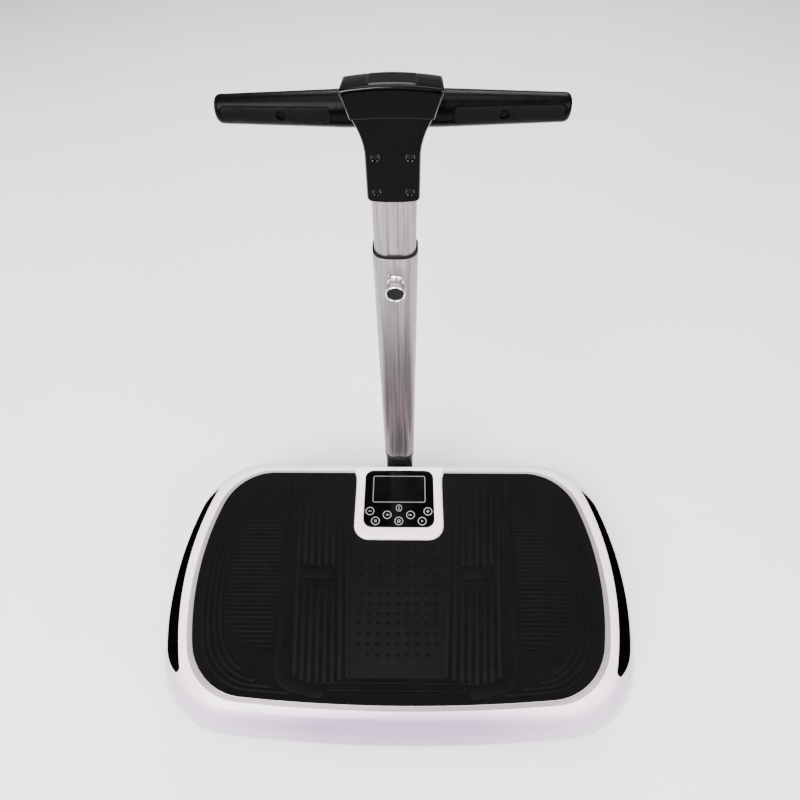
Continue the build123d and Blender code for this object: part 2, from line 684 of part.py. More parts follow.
with BuildPart() as top_cover:
    add(cover_blank.part)
    platform_loft(growth=-COVER_WALL, drop=COVER_WALL, mode=Mode.SUBTRACT)
    # Walls of the notch that lets the column pass
    with Locations((0, NOTCH_FRONT - COVER_WALL, COVER_HEM)):
        Box(
            2 * (NOTCH_HALF_WIDTH + COVER_WALL),
            60,
            110,
            align=BEHIND,
        )
    add(cover_blank.part, mode=Mode.INTERSECT)
    with Locations((0, NOTCH_FRONT, 0)):
        Box(2 * NOTCH_HALF_WIDTH, 60, 200, align=BEHIND, mode=Mode.SUBTRACT)
    with Locations((0, NOTCH_FRONT - 10, 0)):
        Box(
            2 * PEDESTAL_HALF_WIDTH + 12,
            80,
            PEDESTAL_TOP + 8,
            align=BEHIND,
            mode=Mode.SUBTRACT,
        )
    # Opening under the control panel and the cut-out for the mains inlet
    with BuildSketch(Plane.XY.offset(100)):
        with Locations((0, LENS_Y)):
            Rectangle(100, 88)
    extrude(amount=60, mode=Mode.SUBTRACT)
    with Locations((SOCKET_X, SOCKET_Y, 0)):
        Box(86, 40, 60, align=STANDING, mode=Mode.SUBTRACT)
    # Screw posts down to the deck
    with BuildSketch(Plane.XY.offset(DECK_TOP)):
        with Locations(*COVER_SCREW_SPOTS):
            Circle(6)
    extrude(amount=COVER_TOP_INSIDE - DECK_TOP)
    with Locations(*[(x, y, DECK_TOP) for x, y in COVER_SCREW_SPOTS]):
        Cylinder(2, 20, mode=Mode.SUBTRACT)
    # Beds for the side trims
    add(left_trim.part, mode=Mode.SUBTRACT)
    add(right_trim.part, mode=Mode.SUBTRACT)
save(top_cover, "top_cover")


MAT_SEAT = COVER_PROFILE[0][1]
with BuildPart() as mat:
    with BuildSketch(Plane.XY.offset(MAT_SEAT)):
        platform_outline(-MAT_GAP)
        panel_outline(MAT_GAP, mode=Mode.SUBTRACT)
    extrude(amount=MAT_THICKNESS)
save(mat, "mat")

BOSS_SPOTS = [(x, LENS_Y + y) for x in (-45.5, 45.5) for y in (-38, 38)]
LENS_SEAT = PANEL_TOP - LENS_THICKNESS - 0.4
BOARD_TOP = MAT_SEAT - COVER_WALL - 0.5
with BuildPart() as panel_bezel:
    with BuildSketch(Plane.XY.offset(MAT_SEAT - 12)):
        panel_outline(0)
    extrude(amount=PANEL_TOP - MAT_SEAT + 12)
    fillet(panel_bezel.faces().sort_by(Axis.Z)[-1].edges(), 2)
    add(cover_blank.part, mode=Mode.SUBTRACT)
    with BuildSketch(Plane.XY.offset(LENS_SEAT)):
        with Locations((0, LENS_Y)):
            RectangleRounded(LENS_WIDTH, LENS_DEPTH, LENS_RADIUS)
    extrude(amount=20, mode=Mode.SUBTRACT)
    with BuildSketch(Plane.XY.offset(100)):
        with Locations((0, LENS_Y)):
            Rectangle(88, 78)
    extrude(amount=60, mode=Mode.SUBTRACT)
    with BuildSketch(Plane.XY.offset(BOARD_TOP)):
        with Locations(*BOSS_SPOTS):
            Circle(3)
    extrude(amount=LENS_SEAT - 1 - BOARD_TOP)
    with BuildSketch(Plane.XY.offset(BOARD_TOP)):
        with Locations(*BOSS_SPOTS):
            Circle(1.25)
    extrude(amount=4.6, mode=Mode.SUBTRACT)
save(panel_bezel, "panel_bezel")

with BuildPart() as panel_lens:
    with BuildSketch(Plane.XY.offset(LENS_SEAT)):
        with Locations((0, LENS_Y)):
            RectangleRounded(LENS_WIDTH, LENS_DEPTH, LENS_RADIUS)
    extrude(amount=LENS_THICKNESS)
    fillet(panel_lens.faces().sort_by(Axis.Z)[-1].edges(), 0.5)
save(panel_lens, "panel_lens")

with BuildPart() as touch_board:
    with BuildSketch(Plane.XY.offset(BOARD_TOP - 1.6)):
        with Locations((0, LENS_Y)):
            Rectangle(98, 86)
        with Locations(*BOSS_SPOTS):
            Circle(1.5, mode=Mode.SUBTRACT)
    extrude(amount=1.6)
    with BuildSketch(Plane.XY.offset(BOARD_TOP)):
        with Locations((-17.7, 79.5), (0, 76), (17.7, 79.5)):
            Circle(4)
    extrude(amount=LENS_SEAT - BOARD_TOP)
save(touch_board, "touch_board")

with BuildPart() as display_module:
    with Locations((0, LCD_Y, BOARD_TOP)):
        Box(LCD_WIDTH, LCD_DEPTH, LENS_SEAT - BOARD_TOP, align=STANDING)
    fillet(display_module.edges().filter_by(Axis.Z), 2)
save(display_module, "display_module")

with BuildPart() as panel_screws:
    with Locations(*[(x, y, BOARD_TOP - 1.6) for x, y in BOSS_SPOTS]):
        Cylinder(1.25, 6, align=STANDING)
        Cylinder(2.5, 1.6, align=HANGING)
save(panel_screws, "panel_screws")

# ---------------------------------------------------------------- rocking deck
with BuildPart() as deck_plate:
    with Locations((0, 0, DECK_Z - DECK_FLANGE)):
        Box(DECK_WIDTH, DECK_LENGTH, DECK_FLANGE + DECK_THICKNESS, align=STANDING)
    fillet(deck_plate.edges().filter_by(Axis.Z), 20)
    chamfer(deck_plate.faces().sort_by(Axis.Z)[-1].edges(), 2)
    offset(
        amount=-DECK_THICKNESS,
        openings=deck_plate.faces().sort_by(Axis.Z)[0],
        kind=Kind.INTERSECTION,
    )
    with Locations(*[(x, y, DECK_Z) for x, y in COVER_SCREW_SPOTS]):
        Cylinder(2.2, 20, mode=Mode.SUBTRACT)
save(deck_plate, "deck_plate")

with BuildPart() as deck_hangers:
    for hanger_y in (-HANGER_Y, HANGER_Y):
        with BuildSketch(along_y(0, hanger_y - 3, 0)):
            with BuildLine():
                Polyline(
                    (-45, -DECK_Z),
                    (45, -DECK_Z),
                    (14, -(PIVOT_Z - 8)),
                    (-14, -(PIVOT_Z - 8)),
                    close=True,
                )
            make_face()
            with Locations((0, -PIVOT_Z)):
                Circle(15)
                Circle(PIVOT_RADIUS, mode=Mode.SUBTRACT)
        extrude(amount=6)
save(deck_hangers, "deck_hangers")

with BuildPart() as pivot_shaft:
    with BuildSketch(along_y(0, -RAIL_Y - 16, PIVOT_Z)):
        Circle(PIVOT_RADIUS)
    extrude(amount=2 * RAIL_Y + 32)
    chamfer(pivot_shaft.edges().filter_by(GeomType.CIRCLE), 1)
save(pivot_shaft, "pivot_shaft")

PAD_SPOTS = [(-190, -40), (-190, 50), (190, -40), (190, 50), (-130, -110), (130, -110), (0, -60)]
with BuildPart() as deck_pads:
    with Locations(*[(x, y, DECK_TOP) for x, y in PAD_SPOTS]):
        Box(44, 44, COVER_TOP_INSIDE - DECK_TOP, align=STANDING)
save(deck_pads, "deck_pads")

with BuildPart() as cover_screws:
    with Locations(*[(x, y, DECK_Z) for x, y in COVER_SCREW_SPOTS]):
        Cylinder(2, 13, align=STANDING)
        Cylinder(4, 3, align=HANGING)
save(cover_screws, "cover_screws")

LUG_THICKNESS = 4.0
LUG_GAP = LINK_THICKNESS + 1.0
with BuildPart() as link_brackets:
    for link_y in (-LINK_Y, LINK_Y):
        with BuildSketch(along_y(CRANK_X, link_y - LUG_GAP / 2 - LUG_THICKNESS, 0)):
            with Locations((0, -(DECK_Z + LINK_PIN_Z) / 2)):
                Rectangle(24, DECK_Z - LINK_PIN_Z)
            with Locations((0, -LINK_PIN_Z)):
                Circle(9)
                Circle(LINK_PIN_RADIUS, mode=Mode.SUBTRACT)
        extrude(amount=LUG_GAP + 2 * LUG_THICKNESS)
        with Locations((CRANK_X, link_y, DECK_Z - 4)):
            Box(40, LUG_GAP, 40, align=HANGING, mode=Mode.SUBTRACT)
save(link_brackets, "link_brackets")

with BuildPart() as link_pins:
    for link_y in (-LINK_Y, LINK_Y):
        with BuildSketch(along_y(CRANK_X, link_y - 12, LINK_PIN_Z)):
            Circle(LINK_PIN_RADIUS)
        extrude(amount=24)
save(link_pins, "link_pins")


def make_link(link_y):
    """A link from the deck's pin down to the big eye round its eccentric."""
    with BuildPart() as link:
        with BuildSketch(along_y(CRANK_X, link_y - LINK_THICKNESS / 2, 0)):
            with Locations((0, -CRANK_Z)):
                Circle(LINK_EYE_RADIUS)
            with Locations((0, -(LINK_PIN_Z + CRANK_Z + 18) / 2)):
                Rectangle(11, LINK_PIN_Z - CRANK_Z - 18)
            with Locations((0, -LINK_PIN_Z)):
                Circle(9)
                Circle(LINK_PIN_RADIUS + RUNNING_CLEARANCE, mode=Mode.SUBTRACT)
            with Locations((0, -CRANK_Z)):
                Circle(LINK_BORE_RADIUS, mode=Mode.SUBTRACT)
        extrude(amount=LINK_THICKNESS)
    return link


save(make_link(-LINK_Y), "front_link")
save(make_link(LINK_Y), "rear_link")

# ---------------------------------------------------------------- turning drive pieces
with BuildPart() as crankshaft:
    with BuildSketch(along_y(CRANK_X, -CRANK_BLOCK_Y - 10, CRANK_Z)):
        Circle(CRANK_RADIUS)
    extrude(amount=PULLEY_Y + PULLEY_WIDTH / 2 + CRANK_BLOCK_Y + 14)
    for link_y in (-LINK_Y, LINK_Y):
        with BuildSketch(along_y(CRANK_X + CRANK_THROW, link_y - 8, CRANK_Z)):
            Circle(ECCENTRIC_RADIUS)
        extrude(amount=16)
save(crankshaft, "crankshaft")


def make_pulley(x, radius, shaft_radius):
    """A flanged belt pulley on its shaft."""
    with BuildPart() as pulley:
        with BuildSketch(along_y(x, PULLEY_Y - PULLEY_WIDTH / 2, CRANK_Z)):
            Circle(radius)
        extrude(amount=PULLEY_WIDTH)
        for flange_y in (PULLEY_Y - PULLEY_WIDTH / 2, PULLEY_Y + PULLEY_WIDTH / 2 - 1.5):
            with BuildSketch(along_y(x, flange_y, CRANK_Z)):
                Circle(radius + 2)
            extrude(amount=1.5)
        with BuildSketch(along_y(x, PULLEY_Y - PULLEY_WIDTH / 2, CRANK_Z)):
            Circle(shaft_radius)
        extrude(amount=PULLEY_WIDTH, mode=Mode.SUBTRACT)
    return pulley


save(make_pulley(CRANK_X, CRANK_PULLEY_RADIUS, CRANK_RADIUS), "crank_pulley")
save(make_pulley(MOTOR_X, MOTOR_PULLEY_RADIUS, MOTOR_SHAFT_RADIUS), "motor_pulley")

with BuildPart() as motor_shaft:
    with BuildSketch(along_y(MOTOR_X, -38, CRANK_Z)):
        Circle(MOTOR_SHAFT_RADIUS)
    extrude(amount=PULLEY_Y + PULLEY_WIDTH / 2 + 38 + 3)
save(motor_shaft, "motor_shaft")

# ---------------------------------------------------------------- sliding mast
GLIDE_LENGTH = 6.0
GLIDE_DEEP = 22.0
INNER_WALL = 1.5
with BuildPart() as inner_tube:
    with BuildSketch(column_plane(INNER_BOTTOM)):
        tube_section(INNER_WIDTH, INNER_DEPTH, GROOVE_DEPTH)
        tube_section(INNER_WIDTH - 2 * INNER_WALL, INNER_DEPTH - 2 * INNER_WALL, mode=Mode.SUBTRACT)
    extrude(amount=INNER_TOP - INNER_BOTTOM)
    with BuildSketch(along_y(0, COLUMN_Y, 0)):
        with Locations(*[(x, -z) for x in (-NECK_SCREW_X, NECK_SCREW_X) for z in NECK_SCREW_Z]):
            Circle(1.5)
    extrude(amount=-INNER_DEPTH, mode=Mode.SUBTRACT)
save(inner_tube, "inner_tube")

CAVITY_WIDTH = TUBE_WIDTH - 2 * TUBE_WALL
CAVITY_DEPTH = TUBE_DEPTH - 2 * TUBE_WALL
with BuildPart() as inner_glide:
    with BuildSketch(column_plane(INNER_BOTTOM - GLIDE_LENGTH)):
        tube_section(CAVITY_WIDTH - 2 * SLIDE_GAP, CAVITY_DEPTH - 2 * SLIDE_GAP)
    extrude(amount=GLIDE_LENGTH)
    with BuildSketch(column_plane(INNER_BOTTOM)):
        tube_section(INNER_WIDTH - 2 * INNER_WALL - 0.2, INNER_DEPTH - 2 * INNER_WALL - 0.2)
    extrude(amount=GLIDE_DEEP)
    with BuildSketch(column_plane(INNER_BOTTOM - GLIDE_LENGTH)):
        tube_section(INNER_WIDTH - 8, INNER_DEPTH - 8)
    extrude(amount=GLIDE_LENGTH + GLIDE_DEEP, mode=Mode.SUBTRACT)
save(inner_glide, "inner_glide")

CORE_BOTTOM = 618.0
with BuildPart() as head_core:
    with BuildSketch(column_plane(CORE_BOTTOM)):
        tube_section(INNER_WIDTH - 2 * INNER_WALL - 0.2, INNER_DEPTH - 2 * INNER_WALL - 0.2)
    extrude(amount=INNER_TOP - CORE_BOTTOM)
    with Locations((0, COLUMN_Y, INNER_TOP)):
        Box(41, 28, 28, align=STANDING)
    with BuildSketch(along_x(-60, COLUMN_Y, BAR_Z)):
        Circle(BAR_RADIUS)
    extrude(amount=120, mode=Mode.SUBTRACT)
    with BuildSketch(along_y(0, COLUMN_Y, 0)):
        with Locations(*[(x, -z) for x in (-NECK_SCREW_X, NECK_SCREW_X) for z in NECK_SCREW_Z]):
            Circle(1.5)
    extrude(amount=-INNER_DEPTH, mode=Mode.SUBTRACT)
save(head_core, "head_core")

with BuildPart() as handle_bar:
    with BuildSketch(along_x(-GRIP_END + 5, COLUMN_Y, BAR_Z)):
        Circle(BAR_RADIUS)
        Circle(BAR_RADIUS - 1.5, mode=Mode.SUBTRACT)
    extrude(amount=2 * GRIP_END - 10)
save(handle_bar, "handle_bar")


def head_outline(inset):
    """Draw the T-head seen from the front: a neck that flares into a wide, crowned top.
    A negative inset draws it larger, as a clearance."""
    with BuildSketch() as outline:
        with BuildLine():
            neck = Polyline((0, -HEAD_BOTTOM), (NECK_HALF_WIDTH - 3, -(HEAD_BOTTOM + 1)))
            corner = ThreePointArc(
                neck @ 1,
                (NECK_HALF_WIDTH - 0.9, -(HEAD_BOTTOM + 2)),
                (NECK_HALF_WIDTH, -(HEAD_BOTTOM + 4)),
            )
            side = Line(corner @ 1, (NECK_HALF_WIDTH - 0.1, -658))
            flare = ThreePointArc(side @ 1, (26.0, -678), (34.5, -694.5))
            shoulder = Line(flare @ 1, (40.5, -708))
            cap = ThreePointArc(shoulder @ 1, (40.2, -710), (38.5, -711))
            ThreePointArc(cap @ 1, (20, -713.3), (0, -714))
            mirror(about=Plane.YZ)
        make_face()
        if inset:
            offset(amount=-inset)
    add(outline.sketch)


HEAD_FRONT = COLUMN_Y - HEAD_DEPTH / 2
SCREW_SPOTS = [(x, -z) for x in (-NECK_SCREW_X, NECK_SCREW_X) for z in NECK_SCREW_Z]


def make_head_cover(side):
    """One shell of the T-head: side -1 is the front shell and 1 the rear shell."""
    with BuildPart() as shell:
        with BuildSketch(along_y(0, COLUMN_Y, 0)):
            head_outline(0)
        extrude(amount=side * (HEAD_DEPTH / 2 - HEAD_STEP))
        with BuildSketch(along_y(0, COLUMN_Y, 0)):
            head_outline(HEAD_STEP)
        extrude(amount=side * HEAD_DEPTH / 2)
        with BuildSketch(along_y(0, COLUMN_Y, 0)):
            head_outline(HEAD_WALL)
        extrude(amount=side * (HEAD_DEPTH / 2 - HEAD_WALL), mode=Mode.SUBTRACT)
        with BuildSketch(column_plane(HEAD_BOTTOM - 1)):
            tube_section(INNER_WIDTH, INNER_DEPTH)
        extrude(amount=6, mode=Mode.SUBTRACT)
        with BuildSketch(along_x(-60, COLUMN_Y, BAR_Z)):
            Circle(BAR_RADIUS)
        extrude(amount=120, mode=Mode.SUBTRACT)
        if side < 0:
            with BuildSketch(along_y(0, COLUMN_Y - INNER_DEPTH / 2 + GROOVE_DEPTH, 0)):
                with Locations(*SCREW_SPOTS):
                    Circle(3.6)
            extrude(amount=-(HEAD_DEPTH - INNER_DEPTH) / 2 - GROOVE_DEPTH + 0.5)
            with BuildSketch(column_plane(HEAD_BOTTOM + 2)):
                tube_section(INNER_WIDTH, INNER_DEPTH)
            extrude(amount=60, mode=Mode.SUBTRACT)
            with BuildSketch(along_y(0, HEAD_FRONT - 1, 0)):
                with Locations(*SCREW_SPOTS):
                    Circle(1.5)
            extrude(amount=12, mode=Mode.SUBTRACT)
            with BuildSketch(along_y(0, HEAD_FRONT - 1, 0)):
                with Locations(*SCREW_SPOTS):
                    Circle(3)
            extrude(amount=3, mode=Mode.SUBTRACT)
    return shell


save(make_head_cover(-1), "head_front_cover")
save(make_head_cover(1), "head_rear_cover")

with BuildPart() as neck_screws:
    with BuildSketch(along_y(0, HEAD_FRONT + 2, 0)):
        with Locations(*SCREW_SPOTS):
            Circle(1.5)
    extrude(amount=14)
    with BuildSketch(along_y(0, HEAD_FRONT + 0.4, 0)):
        with Locations(*SCREW_SPOTS):
            Circle(2.9)
    extrude(amount=1.6)
save(neck_screws, "neck_screws")

GRIP_GAP = 0.2
INLAY_START = 48.0
INLAY_END = 136.0
INLAY_HALF_HEIGHT = 6.5
INLAY_DEPTH = 1.5


def grip_blank(side, shrink=0.0, mode=Mode.ADD):
    """Solid tapered grip body, closed at its outer end."""
    grip_plane = Plane(origin=(0, COLUMN_Y, BAR_Z), x_dir=(side, 0, 0), z_dir=(0, -side, 0))
    with BuildSketch(grip_plane) as profile:
        with BuildLine():
            Polyline(
                (GRIP_START, 0),
                (GRIP_START, GRIP_ROOT_RADIUS - shrink),
                (GRIP_TAPER_START, GRIP_ROOT_RADIUS - shrink),
                (GRIP_END - 2, GRIP_TIP_RADIUS - shrink),
                (GRIP_END, GRIP_TIP_RADIUS - 2 - shrink),
                (GRIP_END, 0),
                close=True,
            )
        make_face()
    revolve(profile.sketch, axis=Axis((0, COLUMN_Y, BAR_Z), (1, 0, 0)), mode=mode)


def inlay_prism(side, mode):
    """Slab in front of the grip's core, where the rubber inlay sits."""
    centre_x = side * (INLAY_START + INLAY_END) / 2
    with BuildSketch(along_y(centre_x, COLUMN_Y - 30, BAR_Z)) as slab:
        RectangleRounded(INLAY_END - INLAY_START, 2 * INLAY_HALF_HEIGHT, 4)
    extrude(slab.sketch, amount=24, mode=mode)


def make_grip(side):
    """Grip shell, cut to the head's flank, with its inlay, screw hole and handle bar bore."""
    with BuildPart() as recess:
        grip_blank(side)
        inlay_prism(side, Mode.INTERSECT)
        grip_blank(side, INLAY_DEPTH, Mode.SUBTRACT)
    with BuildPart() as grip:
        grip_blank(side)
        with BuildSketch(along_y(0, COLUMN_Y, 0)):
            head_outline(-GRIP_GAP)
        extrude(amount=HEAD_DEPTH / 2, both=True, mode=Mode.SUBTRACT)
        add(recess.part, mode=Mode.SUBTRACT)
        with BuildSketch(along_x(-GRIP_END + 5, COLUMN_Y, BAR_Z)):
            Circle(BAR_RADIUS)
        extrude(amount=2 * GRIP_END - 10, mode=Mode.SUBTRACT)
        with BuildSketch(along_y(side * GRIP_SCREW_X, COLUMN_Y, BAR_Z)):
            Circle(2.6)
        extrude(amount=-30, mode=Mode.SUBTRACT)
    with BuildPart() as inlay:
        add(recess.part)
        with BuildSketch(along_y(side * GRIP_SCREW_X, COLUMN_Y, BAR_Z)):
            Circle(3.6)
        extrude(amount=-30, mode=Mode.SUBTRACT)
    return grip, inlay


for grip_side, grip_name in ((-1, "left"), (1, "right")):
    grip_part, inlay_part = make_grip(grip_side)
    save(grip_part, f"{grip_name}_grip")
    save(inlay_part, f"{grip_name}_grip_inlay")

with BuildPart() as grip_screws:
    for screw_x in (-GRIP_SCREW_X, GRIP_SCREW_X):
        with BuildSketch(along_y(screw_x, COLUMN_Y - BAR_RADIUS, BAR_Z)):
            Circle(2.5)
        extrude(amount=-2.4)
save(grip_screws, "grip_screws")

# ---------------------------------------------------------------- clamp
PAD_BACK = COLUMN_Y - INNER_DEPTH / 2 + GROOVE_DEPTH - 0.4
PAD_LENGTH = 2.2
KNOB_BACK = TUBE_FRONT + GROOVE_DEPTH - BOSS_LENGTH - 0.6
KNOB_LENGTH = 13.0
with BuildPart() as clamp_pad:
    with BuildSketch(along_y(0, PAD_BACK, CLAMP_Z)):
        Circle(STUD_RADIUS - 0.2)
    extrude(amount=-PAD_LENGTH)
save(clamp_pad, "clamp_pad")

with BuildPart() as clamp_knob:
    with BuildSketch(along_y(0, KNOB_BACK, CLAMP_Z)):
        Circle(CLAMP_RADIUS)
    extrude(amount=-KNOB_LENGTH)
    chamfer(clamp_knob.edges().filter_by(GeomType.CIRCLE), 1)
    with BuildSketch(along_y(0, KNOB_BACK - KNOB_LENGTH, CLAMP_Z)):
        Circle(CLAMP_RADIUS - 2)
    extrude(amount=0.8, mode=Mode.SUBTRACT)
    with BuildSketch(along_y(0, KNOB_BACK, CLAMP_Z)):
        Circle(STUD_RADIUS)
    extrude(amount=PAD_BACK - PAD_LENGTH - KNOB_BACK)
save(clamp_knob, "clamp_knob")
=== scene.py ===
import bmesh
import bpy
from math import atan2, cos, hypot, pi, radians, sin, sqrt
from mathutils import Matrix, Vector


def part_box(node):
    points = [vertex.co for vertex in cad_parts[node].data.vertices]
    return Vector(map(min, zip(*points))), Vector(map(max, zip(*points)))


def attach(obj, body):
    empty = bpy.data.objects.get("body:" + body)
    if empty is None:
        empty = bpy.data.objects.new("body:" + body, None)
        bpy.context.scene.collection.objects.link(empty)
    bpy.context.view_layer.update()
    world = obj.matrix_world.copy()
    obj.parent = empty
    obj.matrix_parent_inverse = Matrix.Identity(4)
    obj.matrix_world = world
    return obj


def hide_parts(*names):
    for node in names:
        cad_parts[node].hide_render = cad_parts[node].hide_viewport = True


# Looks for the vibration plate. Shapes below are written in millimetres and turned into metres.
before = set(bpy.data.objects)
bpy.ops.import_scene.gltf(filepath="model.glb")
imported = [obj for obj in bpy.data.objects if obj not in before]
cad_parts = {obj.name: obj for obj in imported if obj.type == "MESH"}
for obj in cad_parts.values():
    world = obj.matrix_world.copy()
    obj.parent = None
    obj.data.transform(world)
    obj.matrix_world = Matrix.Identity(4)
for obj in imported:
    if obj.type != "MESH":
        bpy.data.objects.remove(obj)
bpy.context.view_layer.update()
MM = 0.001


def box_mm(node):
    """Lowest and highest corner of a CAD node, in millimetres."""
    return [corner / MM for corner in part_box(node)]


# ---------------------------------------------------------------- camera
CAMERA_SPOT = (0.0128, -0.249, 0.890)
CAMERA_PITCH, CAMERA_YAW, CAMERA_ROLL = radians(53.96), radians(1.41), radians(-0.98)


def make_camera():
    """Camera standing over the front of the platform, looking down at it and at the column."""
    ahead = Vector((-sin(CAMERA_YAW), cos(CAMERA_YAW), 0))
    right = Vector((cos(CAMERA_YAW), sin(CAMERA_YAW), 0))
    forward = ahead * cos(CAMERA_PITCH) - Vector((0, 0, sin(CAMERA_PITCH)))
    down = -ahead * sin(CAMERA_PITCH) - Vector((0, 0, cos(CAMERA_PITCH)))
    rolled_right = right * cos(CAMERA_ROLL) - down * sin(CAMERA_ROLL)
    rolled_down = right * sin(CAMERA_ROLL) + down * cos(CAMERA_ROLL)
    axes = Matrix((rolled_right, -rolled_down, -forward)).transposed()
    data = bpy.data.cameras.new("camera")
    data.sensor_width = 36
    data.lens = 23.71
    data.clip_start = 0.02
    data.clip_end = 60
    camera = bpy.data.objects.new("camera", data)
    camera.matrix_world = Matrix.Translation(CAMERA_SPOT) @ axes.to_4x4()
    bpy.context.scene.collection.objects.link(camera)
    bpy.context.scene.camera = camera


make_camera()


# ---------------------------------------------------------------- materials
def tree_of(name):
    """A new node material, its tree, its shader and the object's own coordinates."""
    material = bpy.data.materials.new(name)
    material.use_nodes = True
    tree = material.node_tree
    coords = tree.nodes.new("ShaderNodeTexCoord").outputs["Object"]
    return material, tree, tree.nodes["Principled BSDF"], coords


def feed(tree, socket, value):
    """Link a socket to another one, or give it a fixed number or colour."""
    if isinstance(value, bpy.types.NodeSocket):
        tree.links.new(value, socket)
    elif isinstance(value, tuple):
        socket.default_value = (*value, 1)
    else:
        socket.default_value = value


def stretched(tree, coords, stretch):
    """Coordinates scaled along each axis."""
    mapping = tree.nodes.new("ShaderNodeMapping")
    mapping.inputs["Scale"].default_value = stretch
    tree.links.new(coords, mapping.inputs["Vector"])
    return mapping.outputs["Vector"]


def noise(tree, coords, scale, detail=4.0, stretch=(1, 1, 1)):
    """Noise, in features per metre."""
    texture = tree.nodes.new("ShaderNodeTexNoise")
    texture.inputs["Scale"].default_value = scale
    texture.inputs["Detail"].default_value = detail
    tree.links.new(stretched(tree, coords, stretch), texture.inputs["Vector"])
    return texture.outputs["Fac"]


def cells(tree, coords, scale, stretch=(1, 1, 1)):
    """Pebbled texture, in cells per metre."""
    texture = tree.nodes.new("ShaderNodeTexVoronoi")
    texture.inputs["Scale"].default_value = scale
    tree.links.new(stretched(tree, coords, stretch), texture.inputs["Vector"])
    return texture.outputs["Distance"]


def ramp(tree, value, low, high, start=0.3, end=0.7):
    """Colour that runs from low to high as the value goes from start to end."""
    node = tree.nodes.new("ShaderNodeValToRGB")
    for element, place_on, colour in zip(node.color_ramp.elements, (start, end), (low, high)):
        element.position = place_on
        element.color = (*colour, 1)
    tree.links.new(value, node.inputs["Fac"])
    return node.outputs["Color"]


def mapped(tree, value, start, end, low=0.0, high=1.0):
    """Number that runs from low to high as the value goes from start to end."""
    node = tree.nodes.new("ShaderNodeMapRange")
    for socket, number in zip(("From Min", "From Max", "To Min", "To Max"), (start, end, low, high)):
        node.inputs[socket].default_value = number
    tree.links.new(value, node.inputs["Value"])
    return node.outputs["Result"]


def spread(tree, texture, low, high):
    """Widen a noise texture's usual range to low and high."""
    return mapped(tree, texture, 0.3, 0.7, low, high)


def worked(tree, operation, *values):
    """Arithmetic on sockets and numbers."""
    node = tree.nodes.new("ShaderNodeMath")
    node.operation = operation
    for socket, value in zip(node.inputs, values):
        feed(tree, socket, value)
    return node.outputs[0]


def mixed(tree, factor, first, second, blend="MIX"):
    """Mix of two colours by a factor."""
    node = tree.nodes.new("ShaderNodeMix")
    node.data_type = "RGBA"
    node.blend_type = blend
    for index, value in ((0, factor), (6, first), (7, second)):
        feed(tree, node.inputs[index], value)
    return node.outputs[2]


def embossed(tree, shader, height, strength, distance=0.0004):
    """Give the shader a fine relief."""
    bump = tree.nodes.new("ShaderNodeBump")
    bump.inputs["Strength"].default_value = strength
    bump.inputs["Distance"].default_value = distance
    tree.links.new(height, bump.inputs["Height"])
    tree.links.new(bump.outputs["Normal"], shader.inputs["Normal"])


def finish_of(
    name, low, high, rough, scale, bump_scale, bump,
    metallic=0.0, stretch=(1, 1, 1), texture=noise, wear=None, specular=0.5,
):
    """A surface with two close tones, uneven gloss, fine relief and lighter worn edges."""
    material, tree, shader, coords = tree_of(name)
    colour = ramp(tree, noise(tree, coords, scale, stretch=stretch), low, high)
    if wear:
        edges = tree.nodes.new("ShaderNodeNewGeometry").outputs["Pointiness"]
        colour = mixed(tree, mapped(tree, edges, 0.53, 0.62), colour, wear)
    tree.links.new(colour, shader.inputs["Base Color"])
    gloss = noise(tree, coords, scale * 2.3, stretch=stretch)
    tree.links.new(spread(tree, gloss, *rough), shader.inputs["Roughness"])
    shader.inputs["Metallic"].default_value = metallic
    shader.inputs["Specular IOR Level"].default_value = specular
    embossed(tree, shader, texture(tree, coords, bump_scale, stretch=stretch), bump)
    return material


# Where the casing's tones and its painted shade change, in metres
BACK_RIM = (0.1, 0.2)
SLOPE_SHADE_HEIGHTS = (0.134, 0.122)
FRONT_SHADE_LIP = (-0.172, -0.19)
FRONT_SHADE_MIDDLE = (0.27, 0.1)


def casing_finish_and_shade(name, crown, rear, slope_with_shade, front, rough):
    """Pearl moulding: pinkish white on top, warmer at the back, lilac down its slopes and darkened there as
    painted shade, with a darker painted shade across the middle of the front.
    """
    material, tree, shader, coords = tree_of(name)
    split = tree.nodes.new("ShaderNodeSeparateXYZ")
    tree.links.new(coords, split.inputs["Vector"])
    x, y, z = split.outputs
    top = ramp(tree, mapped(tree, y, *BACK_RIM), crown, rear, 0.0, 1.0)
    # Below the rim the slope tone takes over: a lilac tint darkened as painted shade
    body = mixed(tree, mapped(tree, z, *SLOPE_SHADE_HEIGHTS), top, slope_with_shade)
    # Painted shade across the middle of the front lip, fading out towards the corners
    middle = mapped(tree, worked(tree, "ABSOLUTE", x), *FRONT_SHADE_MIDDLE)
    lip = mapped(tree, y, *FRONT_SHADE_LIP)
    body = mixed(tree, worked(tree, "MULTIPLY", lip, middle), body, front)
    speck = ramp(tree, noise(tree, coords, 34, 6.0), (0.985, 0.984, 0.986), (1, 1, 1), 0.35, 0.65)
    tree.links.new(mixed(tree, 1.0, body, speck, "MULTIPLY"), shader.inputs["Base Color"])
    gloss = spread(tree, noise(tree, coords, 90), rough - 0.05, rough + 0.06)
    tree.links.new(gloss, shader.inputs["Roughness"])
    shader.inputs["Coat Weight"].default_value = 0.35
    shader.inputs["Coat Roughness"].default_value = 0.12
    embossed(tree, shader, noise(tree, coords, 700), 0.035)
    return material


